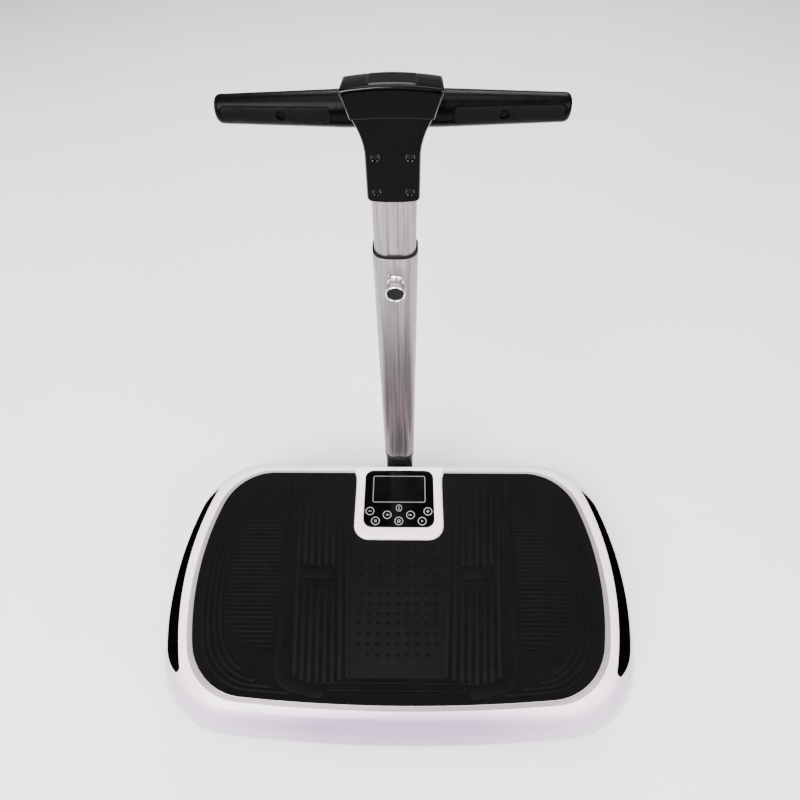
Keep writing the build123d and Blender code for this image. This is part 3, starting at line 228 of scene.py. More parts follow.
def brushed_finish(name, low, high, rough):
    """Drawn aluminium: long streaks along the tube and a fine grain across it."""
    material, tree, shader, coords = tree_of(name)
    streak = worked(tree, "MULTIPLY", noise(tree, coords, 420, 5.0, (1, 1, 0.02)), 0.55)
    grain = worked(tree, "MULTIPLY_ADD", noise(tree, coords, 1500, 3.0), 0.45, streak)
    tree.links.new(ramp(tree, grain, low, high, 0.36, 0.64), shader.inputs["Base Color"])
    tree.links.new(spread(tree, grain, rough + 0.09, rough), shader.inputs["Roughness"])
    shader.inputs["Metallic"].default_value = 0.9
    embossed(tree, shader, grain, 0.22, 0.0002)
    return material


def grey(value):
    """Neutral tone."""
    return (value, value, value)


# Crown, back rim, slopes with painted shade, painted shade at the middle of the front, roughness
CASING_FINISHES = {
    "casing_white": ((0.93, 0.76, 0.85), (0.84, 0.83, 0.78), (0.56, 0.45, 0.58), (0.32, 0.205, 0.355), 0.32),
    # The band: darker all round as painted shade, lighter at the back as painted light
    "casing_band_shade": ((0.23, 0.195, 0.18), (0.5, 0.46, 0.45), (0.18, 0.15, 0.155), (0.18, 0.15, 0.155), 0.45),
    "panel_white": ((0.94, 0.76, 0.84), (0.9, 0.84, 0.85), (0.8, 0.68, 0.76), (0.8, 0.68, 0.76), 0.28),
}

# Darker tone, lighter tone, roughness range, scale of the tones, scale and strength of the relief, the rest
FINISHES = {
    "mat_rubber": ((0.0006, 0.0008, 0.0006), (0.0013, 0.0015, 0.0012), (0.5, 0.66), 40, 1400, 0.12,
                   {"wear": (0.003, 0.0034, 0.003), "specular": 0.05}),
    "trim_black": ((0.0005, 0.0005, 0.0008), (0.0009, 0.0009, 0.0014), (0.44, 0.52), 25, 500, 0.012,
                   {"specular": 0.0}),
    "lens_black": ((0.0006, 0.0006, 0.0008), (0.001, 0.001, 0.0014), (0.06, 0.12), 20, 300, 0.006,
                   {"specular": 0.08}),
    "print_grey": ((0.2, 0.21, 0.21), grey(0.28), (0.35, 0.5), 300, 2000, 0.05, {}),
    "print_dim": ((0.09, 0.095, 0.095), grey(0.12), (0.35, 0.5), 300, 2000, 0.05, {}),
    "display_glass": ((0.0012, 0.0014, 0.0014), (0.002, 0.0022, 0.0022), (0.12, 0.2), 30, 600, 0.01,
                      {"specular": 0.06}),
    "head_black": ((0.0003, 0.0003, 0.0004), (0.0006, 0.0006, 0.0008), (0.14, 0.22), 30, 420, 0.015,
                   {"specular": 0.05}),
    # A glossier, lighter copy of head_black: its bright edges are a painted highlight
    "head_edge_highlight": (grey(0.004), (0.007, 0.007, 0.008), (0.08, 0.14), 30, 420, 0.01, {"specular": 0.6}),
    "grip_black": ((0.0004, 0.0004, 0.0005), (0.0009, 0.0009, 0.001), (0.24, 0.36), 60, 900, 0.08,
                   {"specular": 0.05}),
    "inlay_rubber": (grey(0.0008), grey(0.0018), (0.5, 0.68), 80, 1100, 0.6,
                     {"texture": cells, "specular": 0.07}),
    "black_plastic": (grey(0.001), (0.0022, 0.002, 0.002), (0.3, 0.45), 60, 1200, 0.12,
                      {"wear": grey(0.006), "specular": 0.15}),
    "knob_chrome": ((0.62, 0.62, 0.64), (0.8, 0.8, 0.81), (0.12, 0.26), 90, 600, 0.03, {"metallic": 1.0}),
    "base_plastic": ((0.02, 0.02, 0.022), (0.03, 0.03, 0.032), (0.45, 0.62), 30, 1300, 0.3,
                     {"wear": (0.06, 0.06, 0.062)}),
    "foot_rubber": (grey(0.008), (0.018, 0.017, 0.016), (0.5, 0.75), 70, 1000, 0.15, {}),
    "zinc_steel": ((0.42, 0.42, 0.4), (0.62, 0.61, 0.58), (0.25, 0.42), 160, 320, 0.12,
                   {"metallic": 1.0, "texture": cells}),
    "bearing_steel": ((0.5, 0.5, 0.51), (0.66, 0.66, 0.68), (0.12, 0.24), 300, 1500, 0.05,
                      {"metallic": 1.0, "stretch": (1, 0.1, 1)}),
    "frame_paint": ((0.012, 0.012, 0.014), (0.022, 0.022, 0.025), (0.35, 0.5), 50, 800, 0.2,
                    {"wear": grey(0.12)}),
    "deck_steel": ((0.3, 0.3, 0.31), (0.45, 0.45, 0.46), (0.35, 0.5), 45, 260, 0.15,
                   {"metallic": 0.9, "texture": cells}),
    "motor_paint": ((0.05, 0.055, 0.065), (0.075, 0.08, 0.09), (0.4, 0.55), 70, 900, 0.25,
                    {"wear": grey(0.25)}),
    "cast_metal": ((0.2, 0.2, 0.21), (0.34, 0.34, 0.35), (0.5, 0.68), 110, 700, 0.5, {"metallic": 0.8}),
    "bronze_bush": ((0.36, 0.2, 0.07), (0.5, 0.3, 0.12), (0.3, 0.45), 140, 900, 0.1, {"metallic": 1.0}),
    "belt_rubber": (grey(0.01), (0.022, 0.021, 0.02), (0.6, 0.8), 120, 900, 0.3, {"stretch": (1, 4, 1)}),
    "pad_rubber": ((0.015, 0.015, 0.016), grey(0.03), (0.7, 0.85), 90, 700, 0.5, {}),
    "board_green": ((0.01, 0.09, 0.035), (0.018, 0.13, 0.05), (0.3, 0.45), 260, 500, 0.2,
                    {"texture": cells}),
    "switch_black": (grey(0.006), grey(0.012), (0.2, 0.32), 60, 900, 0.05, {"wear": grey(0.04)}),
    "floor": ((0.86, 0.86, 0.865), grey(0.9), (0.6, 0.75), 3, 60, 0.02, {}),
}

MATERIALS = {name: casing_finish_and_shade(name, *tones) for name, tones in CASING_FINISHES.items()}
MATERIALS.update({name: finish_of(name, *row[:-1], **row[-1]) for name, row in FINISHES.items()})
COLUMN = "column_aluminium"
MATERIALS[COLUMN] = brushed_finish(COLUMN, (0.15, 0.125, 0.135), (0.4, 0.35, 0.37), 0.33)


# ---------------------------------------------------------------- mesh tools
def to_object(name, bm, angle=35.0):
    """Turn a millimetre bmesh into a smooth-shaded object in metres."""
    bmesh.ops.recalc_face_normals(bm, faces=bm.faces)
    bm.transform(Matrix.Scale(MM, 4))
    mesh = bpy.data.meshes.new(name)
    bm.to_mesh(mesh)
    bm.free()
    mesh.shade_smooth()
    mesh.set_sharp_from_angle(angle=radians(angle))
    obj = bpy.data.objects.new(name, mesh)
    bpy.context.scene.collection.objects.link(obj)
    return obj


def skin(bm, rings, wrap=False):
    """Skin closed rings of points, one after the other, and close both ends or join them."""
    rows = [[bm.verts.new(point) for point in ring] for ring in rings]
    pairs = list(zip(rows, rows[1:])) + ([(rows[-1], rows[0])] if wrap else [])
    for lower, upper in pairs:
        for i in range(len(lower)):
            j = (i + 1) % len(lower)
            bm.faces.new((lower[i], lower[j], upper[j], upper[i]))
    if not wrap:
        bm.faces.new(rows[0][::-1])
        bm.faces.new(rows[-1])
    return bm


def skinned(name, rings, angle=35.0, wrap=False):
    """A new object skinned over closed rings of points."""
    return to_object(name, skin(bmesh.new(), rings, wrap), angle)


def applied(obj, angle=35.0):
    """Apply an object's modifiers to its mesh."""
    graph = bpy.context.evaluated_depsgraph_get()
    mesh = bpy.data.meshes.new_from_object(obj.evaluated_get(graph))
    obj.modifiers.clear()
    obj.data = mesh
    mesh.shade_smooth()
    mesh.set_sharp_from_angle(angle=radians(angle))
    return obj


def combine(obj, other, operation, keep=False, angle=35.0):
    """Boolean of two solids, applied at once."""
    modifier = obj.modifiers.new("cut", "BOOLEAN")
    modifier.operation = operation
    modifier.solver = "EXACT"
    modifier.object = other
    applied(obj, angle)
    if not keep:
        bpy.data.objects.remove(other)
    return obj


def bevelled(obj, width, segments, limit):
    """Round the edges of an object that turn by more than the limit, in degrees."""
    modifier = obj.modifiers.new("round", "BEVEL")
    modifier.width = width * MM
    modifier.segments = segments
    modifier.limit_method = "ANGLE"
    modifier.angle_limit = radians(limit)
    return applied(obj)


def joined(objects, name):
    """Join several objects into the first one."""
    with bpy.context.temp_override(
        active_object=objects[0], selected_objects=objects, selected_editable_objects=objects
    ):
        bpy.ops.object.join()
    objects[0].name = name
    return objects[0]


def copy_of(obj, name):
    """An object with a mesh of its own, copied from another one."""
    twin = obj.copy()
    twin.data = obj.data.copy()
    twin.name = name
    bpy.context.scene.collection.objects.link(twin)
    return twin


def place(obj, body, slot, *nodes):
    """Give a finished piece its material, body and the CAD nodes it stands for."""
    if not obj.data.materials or obj.data.materials[0] is None:
        obj.data.materials.clear()
        obj.data.materials.append(MATERIALS[slot])
    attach(obj, body)
    if nodes:
        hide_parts(*nodes)
    return obj


def arc_points(centre, radius, start, end, steps):
    """Points along an arc, its end point left out."""
    return [
        (
            centre[0] + radius * cos(start + (end - start) * i / steps),
            centre[1] + radius * sin(start + (end - start) * i / steps),
        )
        for i in range(steps)
    ]


def rounded_box(x0, x1, y0, y1, low_radius, high_radius, steps=8):
    """Rounded rectangle: its corners on the low-y side and high-y side have their own radii."""
    a, b = max(low_radius, 0.01), max(high_radius, 0.01)
    points = arc_points((x1 - a, y0 + a), a, -pi / 2, 0, steps) + [(x1, y0 + a)]
    points += arc_points((x1 - b, y1 - b), b, 0, pi / 2, steps) + [(x1 - b, y1)]
    points += arc_points((x0 + b, y1 - b), b, pi / 2, pi, steps) + [(x0, y1 - b)]
    points += arc_points((x0 + a, y0 + a), a, pi, 3 * pi / 2, steps) + [(x0 + a, y0)]
    return points


def at_height(points, z):
    """A flat outline raised to a height."""
    return [(x, y, z) for x, y in points]


def disc_points(x, y, radius, steps=32):
    """Circle in plan."""
    return arc_points((x, y), radius, 0, 2 * pi, steps)


def drum(name, centre, profile, axis="Z", steps=48, angle=35.0):
    """Turned solid: profile pairs are (distance along the axis, radius)."""
    rings = []
    for along, radius in profile:
        ring = []
        for i in range(steps):
            u, v = radius * cos(2 * pi * i / steps), radius * sin(2 * pi * i / steps)
            spot = {"Z": (u, v, along), "Y": (u, along, v), "X": (along, u, v)}[axis]
            ring.append(tuple(c + s for c, s in zip(centre, spot)))
        rings.append(ring)
    return skinned(name, rings, angle)


def slab(name, points, z0, z1):
    """Upright prism between two heights."""
    return skinned(name, [at_height(points, z0), at_height(points, z1)])


def shifted(points, amount):
    """An outline moved sideways, square to itself."""
    out = []
    for i, (u, v) in enumerate(points):
        au, av = points[i - 1]
        bu, bv = points[(i + 1) % len(points)]
        length = hypot(bu - au, bv - av) or 1
        out.append((u - (bv - av) / length * amount, v + (bu - au) / length * amount))
    return out


def arc_through(a, b, c, steps):
    """Points along the arc through three points, the last one left out."""
    ax, ay, bx, by, cx, cy = *a, *b, *c
    span = 2 * (ax * (by - cy) + bx * (cy - ay) + cx * (ay - by))
    a_square, b_square, c_square = ax**2 + ay**2, bx**2 + by**2, cx**2 + cy**2
    mid_x = (a_square * (by - cy) + b_square * (cy - ay) + c_square * (ay - by)) / span
    mid_y = (a_square * (cx - bx) + b_square * (ax - cx) + c_square * (bx - ax)) / span
    start, middle, end = (atan2(y - mid_y, x - mid_x) for x, y in (a, b, c))
    turn = (end - start) % (2 * pi)
    if (middle - start) % (2 * pi) > turn:
        turn -= 2 * pi
    return arc_points((mid_x, mid_y), hypot(ax - mid_x, ay - mid_y), start, start + turn, steps)


def bar_along(bm, path, width, base, top):
    """Raised rib along a flat path: a soft-topped bar that dies away at both ends."""
    last = len(path) - 1
    rings = []
    for i, (x, y) in enumerate(path):
        ax, ay = path[max(i - 1, 0)]
        bx, by = path[min(i + 1, last)]
        length = hypot(bx - ax, by - ay) or 1
        nx, ny = -(by - ay) / length, (bx - ax) / length
        at_end = i in (0, last)
        half = width / 2 * (0.45 if at_end else 1)
        high = base + (top - base) * (0.35 if at_end else 1)
        shoulder = base + (high - base) * 0.6
        section = ((-1, base - 0.3), (-0.97, shoulder), (-0.65, high),
                   (0.65, high), (0.97, shoulder), (1, base - 0.3))
        rings.append([(x + nx * across * half, y + ny * across * half, z) for across, z in section])
    skin(bm, rings)


# ---------------------------------------------------------------- platform outline
MAT_LOW, MAT_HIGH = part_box("mat")
MAT_TOP = MAT_HIGH.z / MM
HALF_WIDTH = MAT_HIGH.x / MM + 0.5
FRONT = MAT_LOW.y / MM - 0.34
BACK = MAT_HIGH.y / MM + 0.37
WIDEST_Y = -4.0


def side_arc(growth):
    """Centre and radius of the bowed side, grown by an amount."""
    radius = 375 + 2 * growth
    return HALF_WIDTH + growth - radius, radius


def platform(growth, dense=1):
    """Platform outline grown at the sides: straight back, bowed sides and front, round corners."""
    back_y, front_y = BACK + 0.73 * growth, FRONT - 0.68 * growth
    side_x, side_r = side_arc(growth)
    bow_r, back_r, front_r = 2400 + growth, 75 + growth / 2, 85 + growth / 2
    bow_y = front_y + bow_r
    back_c = (side_x + sqrt((side_r - back_r) ** 2 - (back_y - back_r - WIDEST_Y) ** 2), back_y - back_r)
    near, far = side_r - front_r, bow_r - front_r
    gap = hypot(side_x, bow_y - WIDEST_Y)
    along = (near**2 - far**2 + gap**2) / (2 * gap)
    across = sqrt(near**2 - along**2)
    ux, uy = -side_x / gap, (bow_y - WIDEST_Y) / gap
    front_c = (side_x + along * ux + across * uy, WIDEST_Y + along * uy - across * ux)
    back_turn = atan2(back_c[1] - WIDEST_Y, back_c[0] - side_x)
    side_turn = atan2(front_c[1] - WIDEST_Y, front_c[0] - side_x)
    front_turn = atan2(front_c[1] - bow_y, front_c[0])
    half = [(back_c[0] * i / 8, back_y) for i in range(1, 8)]
    half += arc_points(back_c, back_r, pi / 2, back_turn, 16 * dense)
    half += arc_points((side_x, WIDEST_Y), side_r, back_turn, side_turn, 26 * dense)
    half += arc_points(front_c, front_r, side_turn, front_turn, 18 * dense)
    half += arc_points((0, bow_y), bow_r, front_turn, -pi / 2, 14 * dense)
    return [(0, back_y)] + half + [(0, front_y)] + [(-x, y) for x, y in reversed(half)]


def eased(points, sizes, steps=5):
    """Round the inner corners of a profile with short curves."""
    out = [points[0]]
    for i in range(1, len(points) - 1):
        here, size = Vector(points[i]), sizes[i]
        before = (Vector(points[i - 1]) - here).normalized() * size
        after = (Vector(points[i + 1]) - here).normalized() * size
        for k in range(steps + 1):
            t = k / steps
            point = here + before * (1 - t) ** 2 + after * t**2
            out.append((point.x, point.y))
    return out + [points[-1]]


# ---------------------------------------------------------------- casing
SEAT = MAT_LOW.z / MM
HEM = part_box("top_cover")[0].z / MM
PROFILE = eased(
    [(0, SEAT), (8, SEAT - 2.5), (24, SEAT - 6.5), (44, SEAT - 29), (57, SEAT - 63), (50, HEM)],
    [0, 1.2, 6, 9, 9, 0],
    7,
)


def casing_solid(name, inset=0.0, lowered=0.0, foot=0.0):
    """The casing's outer form, moved in and down, with a foot below its hem."""
    rings = [at_height(platform(growth - inset), z - lowered) for growth, z in PROFILE]
    if foot:
        rings.append(at_height(platform(PROFILE[-1][0] - inset), HEM - lowered - foot))
    return skinned(name, rings)


def trim_outline(side, inset=0.0):
    """A trim's crescent in plan, from its pointed back to its round front."""
    points = arc_through((287, 130), (301, 121.5), (311, 110), 5)
    points += arc_through((311, 110), (321.2, 65), (327, -8), 14)
    points += arc_through((327, -8), (323.8, -58), (314, -103), 14)
    points += arc_through((314, -103), (304.5, -121), (292.5, -133), 8)
    points += arc_through((292.5, -133), (286.8, -134.6), (284.6, -128.5), 8)
    points += arc_through((284.6, -128.5), (306.6, 0), (287, 130), 30)
    return [(side * x, y) for x, y in shifted(points, -inset)]


def notch_points(half, front, radius):
    """Plan of the slot for the column: round inner corners, open at the back."""
    return rounded_box(-half, half, front, 260, radius, 0.01)


SHELL_WALL = 3
SLOT_HALF, SLOT_FRONT, SLOT_WALL_TOP = 31, 166, 134
HEEL_HALF, HEEL_FRONT, HEEL_TOP = 52, 156, 53
INLET_WINDOW, INLET_WINDOW_TOP = (112, 198, 150, 240), 60
TRIM_LOW, TRIM_HIGH = 60, 150
TRIM_THICKNESS, TRIM_GAP = 1.2, 0.35

casing = casing_solid("top_cover_shell")
blank = copy_of(casing, "blank")
combine(casing, casing_solid("hollow", SHELL_WALL, SHELL_WALL, 8), "DIFFERENCE")
walls = slab("walls", notch_points(SLOT_HALF + SHELL_WALL, SLOT_FRONT - SHELL_WALL, 11), HEM, SLOT_WALL_TOP)
combine(walls, blank, "INTERSECT")
combine(casing, walls, "UNION")
combine(casing, slab("slot", notch_points(SLOT_HALF, SLOT_FRONT, 8), 0, 220), "DIFFERENCE")
combine(casing, slab("heel", notch_points(HEEL_HALF, HEEL_FRONT, 4), 0, HEEL_TOP), "DIFFERENCE")
combine(casing, slab("window", rounded_box(*INLET_WINDOW, 3, 3), 0, INLET_WINDOW_TOP), "DIFFERENCE")

trims = {}
for side, name in ((-1, "left_trim"), (1, "right_trim")):
    under = casing_solid("under", TRIM_THICKNESS, TRIM_THICKNESS, 8)
    bed = slab("bed", trim_outline(side), TRIM_LOW, TRIM_HIGH)
    combine(bed, under, "DIFFERENCE", keep=True)
    combine(casing, bed, "DIFFERENCE")
    trim = slab(name + "_inlay", trim_outline(side, TRIM_GAP), TRIM_LOW, TRIM_HIGH)
    combine(trim, casing_solid("over", -0.15, -0.12, 8), "INTERSECT")
    combine(trim, under, "DIFFERENCE")
    trims[name] = bevelled(trim, 0.45, 3, 50)

# The flat band round the mat gets a darker tone, a painted shade of its chamfer
casing.data.materials.clear()
casing.data.materials.append(MATERIALS["casing_white"])
casing.data.materials.append(MATERIALS["casing_band_shade"])
for face in casing.data.polygons:
    if face.normal.z > 0.9 and SEAT - 2.4 < face.center.z / MM < SEAT - 0.05:
        face.material_index = 1
place(casing, "deck", "casing_white", "top_cover")
for name, trim in trims.items():
    trim.data.materials.clear()
    place(trim, "deck", "trim_black", name)


# ---------------------------------------------------------------- control panel
LENS_LOW, LENS_HIGH = box_mm("panel_lens")
BEZEL_LOW, BEZEL_HIGH = box_mm("panel_bezel")


FLARE_START, FLARE_LENGTH, FLARE_WIDTH = 138, 24, 9


def divided(points, flare=0.0):
    """An outline with its long straight sides divided, and widened where it nears the back rim."""
    out = []
    for i, (x, y) in enumerate(points):
        nx, ny = points[(i + 1) % len(points)]
        parts = 10 if hypot(nx - x, ny - y) > 40 else 1
        for k in range(parts):
            px, py = x + (nx - x) * k / parts, y + (ny - y) * k / parts
            rise = min(max((py - FLARE_START) / FLARE_LENGTH, 0), 1)
            shift = FLARE_WIDTH * flare * rise**2
            out.append((px + (shift if px > 0 else -shift), py))
    return out


def panel_outline(growth):
    """The panel's outline, flaring where it runs into the casing's back rim."""
    points = rounded_box(
        BEZEL_LOW.x - growth, BEZEL_HIGH.x + growth, BEZEL_LOW.y - growth, BEZEL_HIGH.y + growth,
        23 + growth, 10 + growth, 12,
    )
    return divided(points, 1.0)


def lens_ring(inset, z):
    """The lens's outline, moved in and set at a height."""
    points = rounded_box(
        LENS_LOW.x + inset, LENS_HIGH.x - inset, LENS_LOW.y + inset, LENS_HIGH.y - inset,
        13 - inset, 13 - inset, 12,
    )
    return at_height(divided(points), z)


def blended(first, second, t, z):
    """Ring part of the way from one outline to another."""
    return [(a[0] + (b[0] - a[0]) * t, a[1] + (b[1] - a[1]) * t, z) for a, b in zip(first, second)]


TOP = BEZEL_HIGH.z
outer, inner = panel_outline(0), lens_ring(-0.3, 0)
# Share of the way from the outer edge to the lens, and depth below the top
BEZEL_SECTION = (
    (0.0, 3.6), (0.02, 2.4), (0.07, 1.2), (0.15, 0.5), (0.3, 0.05),
    (0.5, 0), (0.78, 0.1), (0.93, 0.35), (1.0, 0.9),
)
bezel_rings = [blended(outer, inner, 0.0, 129.5)]
bezel_rings += [blended(outer, inner, share, TOP - depth) for share, depth in BEZEL_SECTION]
bezel_rings.append(blended(outer, inner, 1.0, LENS_LOW.z - 0.05))
bezel = skinned("panel_frame", bezel_rings, 50)
place(bezel, "deck", "panel_white", "panel_bezel")

lens = skinned(
    "panel_window",
    [lens_ring(0, LENS_LOW.z), lens_ring(0, LENS_HIGH.z - 0.7), lens_ring(0.15, LENS_HIGH.z - 0.35),
     lens_ring(0.5, LENS_HIGH.z - 0.12), lens_ring(1.1, LENS_HIGH.z), lens_ring(3, LENS_HIGH.z)],
)
place(lens, "deck", "lens_black", "panel_lens")

INK_LOW, INK_HIGH = LENS_HIGH.z - 0.05, LENS_HIGH.z + 0.06
ink = bmesh.new()


def ink_band(outside, inside):
    """Flat printed line between two outlines with the same number of points."""
    skin(ink, [at_height(outside, INK_LOW), at_height(outside, INK_HIGH),
               at_height(inside, INK_HIGH), at_height(inside, INK_LOW)], wrap=True)


def ink_patch(points):
    """Flat printed shape."""
    skin(ink, [at_height(points, INK_LOW), at_height(points, INK_HIGH)])


SCREEN_LOW, SCREEN_HIGH = box_mm("display_module")
sx0, sx1, sy0, sy1 = SCREEN_LOW.x, SCREEN_HIGH.x, SCREEN_LOW.y, SCREEN_HIGH.y
ink_band(
    rounded_box(sx0, sx1, sy0, sy1, 3.2, 3.2),
    rounded_box(sx0 + 1.5, sx1 - 1.5, sy0 + 1.5, sy1 - 1.5, 1.9, 1.9),
)
screen = slab(
    "display_window", rounded_box(sx0 + 3.4, sx1 - 3.4, sy0 + 3, sy1 - 3, 1, 1), INK_LOW, LENS_HIGH.z + 0.02
)
place(screen, "deck", "display_glass", "display_module")

# Touch keys: a ring round each, with a plain sign inside
KEYS = [(-44.1, 85.8), (-17.7, 79.8), (17.7, 79.8), (44.1, 85.8), (-35.2, 70), (35.2, 70), (0, 70)]
for x, y in KEYS:
    ink_band(disc_points(x, y, 6.6), disc_points(x, y, 5.5))


def strip(x, y, width, height):
    """Printed bar."""
    ink_patch([(x - width / 2, y - height / 2), (x + width / 2, y - height / 2),
               (x + width / 2, y + height / 2), (x - width / 2, y + height / 2)])


def arrow(x, y, size, facing):
    """Printed triangle, facing right or left."""
    ink_patch([(x - facing * size * 0.6, y - size * 0.8), (x + facing * size * 0.9, y),
               (x - facing * size * 0.6, y + size * 0.8)][::facing])


# Minus and plus, back and forward, pause, play, stop, and a mark over the middle
strip(-44.1, 85.8, 4.4, 1.1)
strip(44.1, 85.8, 4.4, 1.1)
strip(44.1, 87.55, 1.1, 1.7)
strip(44.1, 84.05, 1.1, 1.7)
arrow(-18.2, 79.8, 1.9, -1)
arrow(-15.6, 79.8, 1.3, -1)
arrow(18.2, 79.8, 1.9, 1)
arrow(15.6, 79.8, 1.3, 1)
strip(-36.3, 70, 1.1, 4)
strip(-34.1, 70, 1.1, 4)
arrow(35.2, 70, 2.1, 1)
ink_band(rounded_box(-2.3, 2.3, 67.6, 72.4, 1, 1, 3), rounded_box(-1.3, 1.3, 68.6, 71.4, 0.4, 0.4, 3))
ink_band(rounded_box(-4.4, 4.4, 85.4, 96.6, 4.3, 4.3), rounded_box(-3.5, 3.5, 86.3, 95.7, 3.4, 3.4))
strip(0, 91, 0.9, 5.2)
strip(0, 93.2, 3, 0.8)
strip(0, 88.8, 3, 0.8)
prints = to_object("panel_print", ink)
prints.data.materials.append(MATERIALS["print_grey"])
prints.data.materials.append(MATERIALS["print_dim"])
# The screen's frame is dimmer than the keys
for face in prints.data.polygons:
    if face.center.y / MM > sy0 - 1:
        face.material_index = 1
place(prints, "deck", "panel_white")

# ---------------------------------------------------------------- mat
FLOOR_Z = MAT_TOP - 1.25
mat = skinned(
    "mat_sheet",
    [at_height(platform(-0.5, 2), SEAT), at_height(platform(-0.5, 2), FLOOR_Z + 0.15),
     at_height(platform(-1.0, 2), FLOOR_Z + 0.55), at_height(platform(-3.6, 2), FLOOR_Z + 0.6),
     at_height(platform(-5.0, 2), FLOOR_Z)],
)
combine(mat, slab("mat_cut", panel_outline(0.5), 120, 160), "DIFFERENCE")
relief = bmesh.new()


def line(start, end, steps=1):
    """Points along a straight line, both ends included."""
    return [(start[0] + (end[0] - start[0]) * i / steps, start[1] + (end[1] - start[1]) * i / steps)
            for i in range(steps + 1)]


def softened(path, inset):
    """A path with an extra point near each end, so that its rib tapers over a short run."""
    a, b = Vector(path[0]), Vector(path[1])
    c, d = Vector(path[-1]), Vector(path[-2])
    first, last = a + (b - a).normalized() * inset, c + (d - c).normalized() * inset
    return [path[0], tuple(first), *path[1:-1], tuple(last), path[-1]]


def rib(path, width, height=1.2, inset=3.0):
    """A rib on the left of the mat and its mirror image on the right."""
    bar_along(relief, softened(path, inset), width, FLOOR_Z, FLOOR_Z + height)
    bar_along(relief, softened([(-x, y) for x, y in path], inset), width, FLOOR_Z, FLOOR_Z + height)


def raised(points, height):
    """Flat raised patch with sloping edges."""
    cx = sum(x for x, _ in points) / len(points)
    cy = sum(y for _, y in points) / len(points)
    reach = max(hypot(x - cx, y - cy) for x, y in points)
    scale = 1 - 0.8 / reach
    small = [(cx + (x - cx) * scale, cy + (y - cy) * scale) for x, y in points]
    skin(relief, [at_height(points, FLOOR_Z - 0.3), at_height(points, FLOOR_Z + height * 0.45),
                  at_height(small, FLOOR_Z + height)])


# Centre insert with its dots
DOT_PITCH = 13
DOT_SECTION = ((2.75, -0.2), (2.6, 0.45), (2.2, 0.85), (1.5, 1.15), (0.7, 1.25))
raised([(-74, 39), (-59.5, -141), (59.5, -141), (74, 39)][::-1], 0.35)
for row in range(12):
    y = 28 - DOT_PITCH * row
    reach = 5 if row == 0 else 3 if row == 11 else 4
    for column in range(-reach, reach + 1):
        skin(relief, [at_height(disc_points(column * DOT_PITCH, y, radius, 14), FLOOR_Z + z)
                      for radius, z in DOT_SECTION])
rib(line((-75.5, 40), (-60.8, -143)), 1.6, 0.8)
for y, reach in ((-146.5, 100), (-155, 88)):
    bar_along(relief, softened(line((-reach, y), (reach, y), 8), 4), 2.4, FLOOR_Z, FLOOR_Z + 0.8)

# Long ribs, broken by a rounded flat patch
RIB_COUNT, RIB_TOP, RIB_LENGTH = 8, 126, 264
for index in range(RIB_COUNT):
    t = (index + 0.5) / RIB_COUNT
    top = Vector((-160 + 85 * t, RIB_TOP))
    bottom = Vector((-136 + 78 * t, -138 - 10 * sin(pi * t)))
    upper = top + (bottom - top) * ((RIB_TOP - 7) / RIB_LENGTH)
    lower = top + (bottom - top) * ((RIB_TOP + 21) / RIB_LENGTH)
    if -139 < upper.x < -88:
        rib([tuple(top), tuple(upper)], 5.6)
        rib([tuple(lower), tuple(bottom)], 5.6)
    else:
        rib([tuple(top), tuple(bottom)], 5.6)
for side in (-1, 1):
    x0, x1 = sorted((side * 137, side * 91))
    raised(rounded_box(x0, x1, -16.5, 2.5, 5, 5), 0.9)

# Flat strip that frames the long ribs and turns in along the front
corner = [(-155.5 + 22 * (1 - cos(a)), -118 - 34 * sin(a)) for a in (0, 0.35, 0.7, 1.05, 1.4)]
rib(line((-168.5, 138), (-156.6, -100), 6) + corner + [(-108, -158), (-92, -160)], 9.5, 0.75)

# Concentric ribs that follow the rim round the side and the front corner
for index, inset in enumerate((14, 22, 30, 38)):
    ring = platform(-inset)
    path = [p for p in ring[len(ring) // 2:] if p[0] < -(133 + 22 * index) and p[1] < 112 - 3 * index]
    rib(path, 4.4, 1.15)

# Fine cross ribs between the side arcs and the strip
for index in range(30):
    y = 70 - 6 * index
    side_x, radius = side_arc(-43)
    reach = side_x + sqrt(radius**2 - (y - WIDEST_Y) ** 2)
    if y < -70:
        reach -= (-70 - y) ** 2 / 34
    start = 168.5 - 13 * (138 - y) / 259 + 8.5
    if reach - start > 12:
        rib([(-reach, y), (-start, y)], 2.6, 0.85, 2.0)

tread = to_object("mat_tread", relief, 50)
place(mat, "deck", "mat_rubber", "mat")
place(tread, "deck", "mat_rubber")

# ---------------------------------------------------------------- column
TUBE_LOW, TUBE_HIGH = box_mm("outer_tube")
INNER_LOW, INNER_HIGH = box_mm("inner_tube")
COLUMN_Y = (TUBE_LOW.y + TUBE_HIGH.y) / 2


def tube_ring(low, high, radius, inset, z, groove=0.6):
    """Oval tube section with a flat band sunk between two ridges down its front."""
    x1, y0, y1 = high.x - inset, low.y + inset, high.y - inset
    r = radius - inset
    points = []
    for x, depth in ((-7.6, 0), (-6.9, groove), (0, groove), (6.9, groove), (7.6, 0)):
        points.append((x, y0 + depth, z))
    for corner, start in (((x1 - r, y0 + r), -pi / 2), ((x1 - r, y1 - r), 0),
                          ((r - x1, y1 - r), pi / 2), ((r - x1, y0 + r), pi)):
        for i in range(13):
            a = start + pi / 2 * i / 12
            points.append((corner[0] + r * cos(a), corner[1] + r * sin(a), z))
    return points


def column_tube(name, low, high, radius):
    """Open tube that fills a box, with eased ends."""
    section = ((TUBE_WALL, low.z + 0.3), (0.35, low.z), (0, low.z + 0.4),
               (0, high.z - 0.4), (0.35, high.z), (TUBE_WALL, high.z - 0.3))
    return skinned(name, [tube_ring(low, high, radius, inset, z) for inset, z in section], 28, wrap=True)


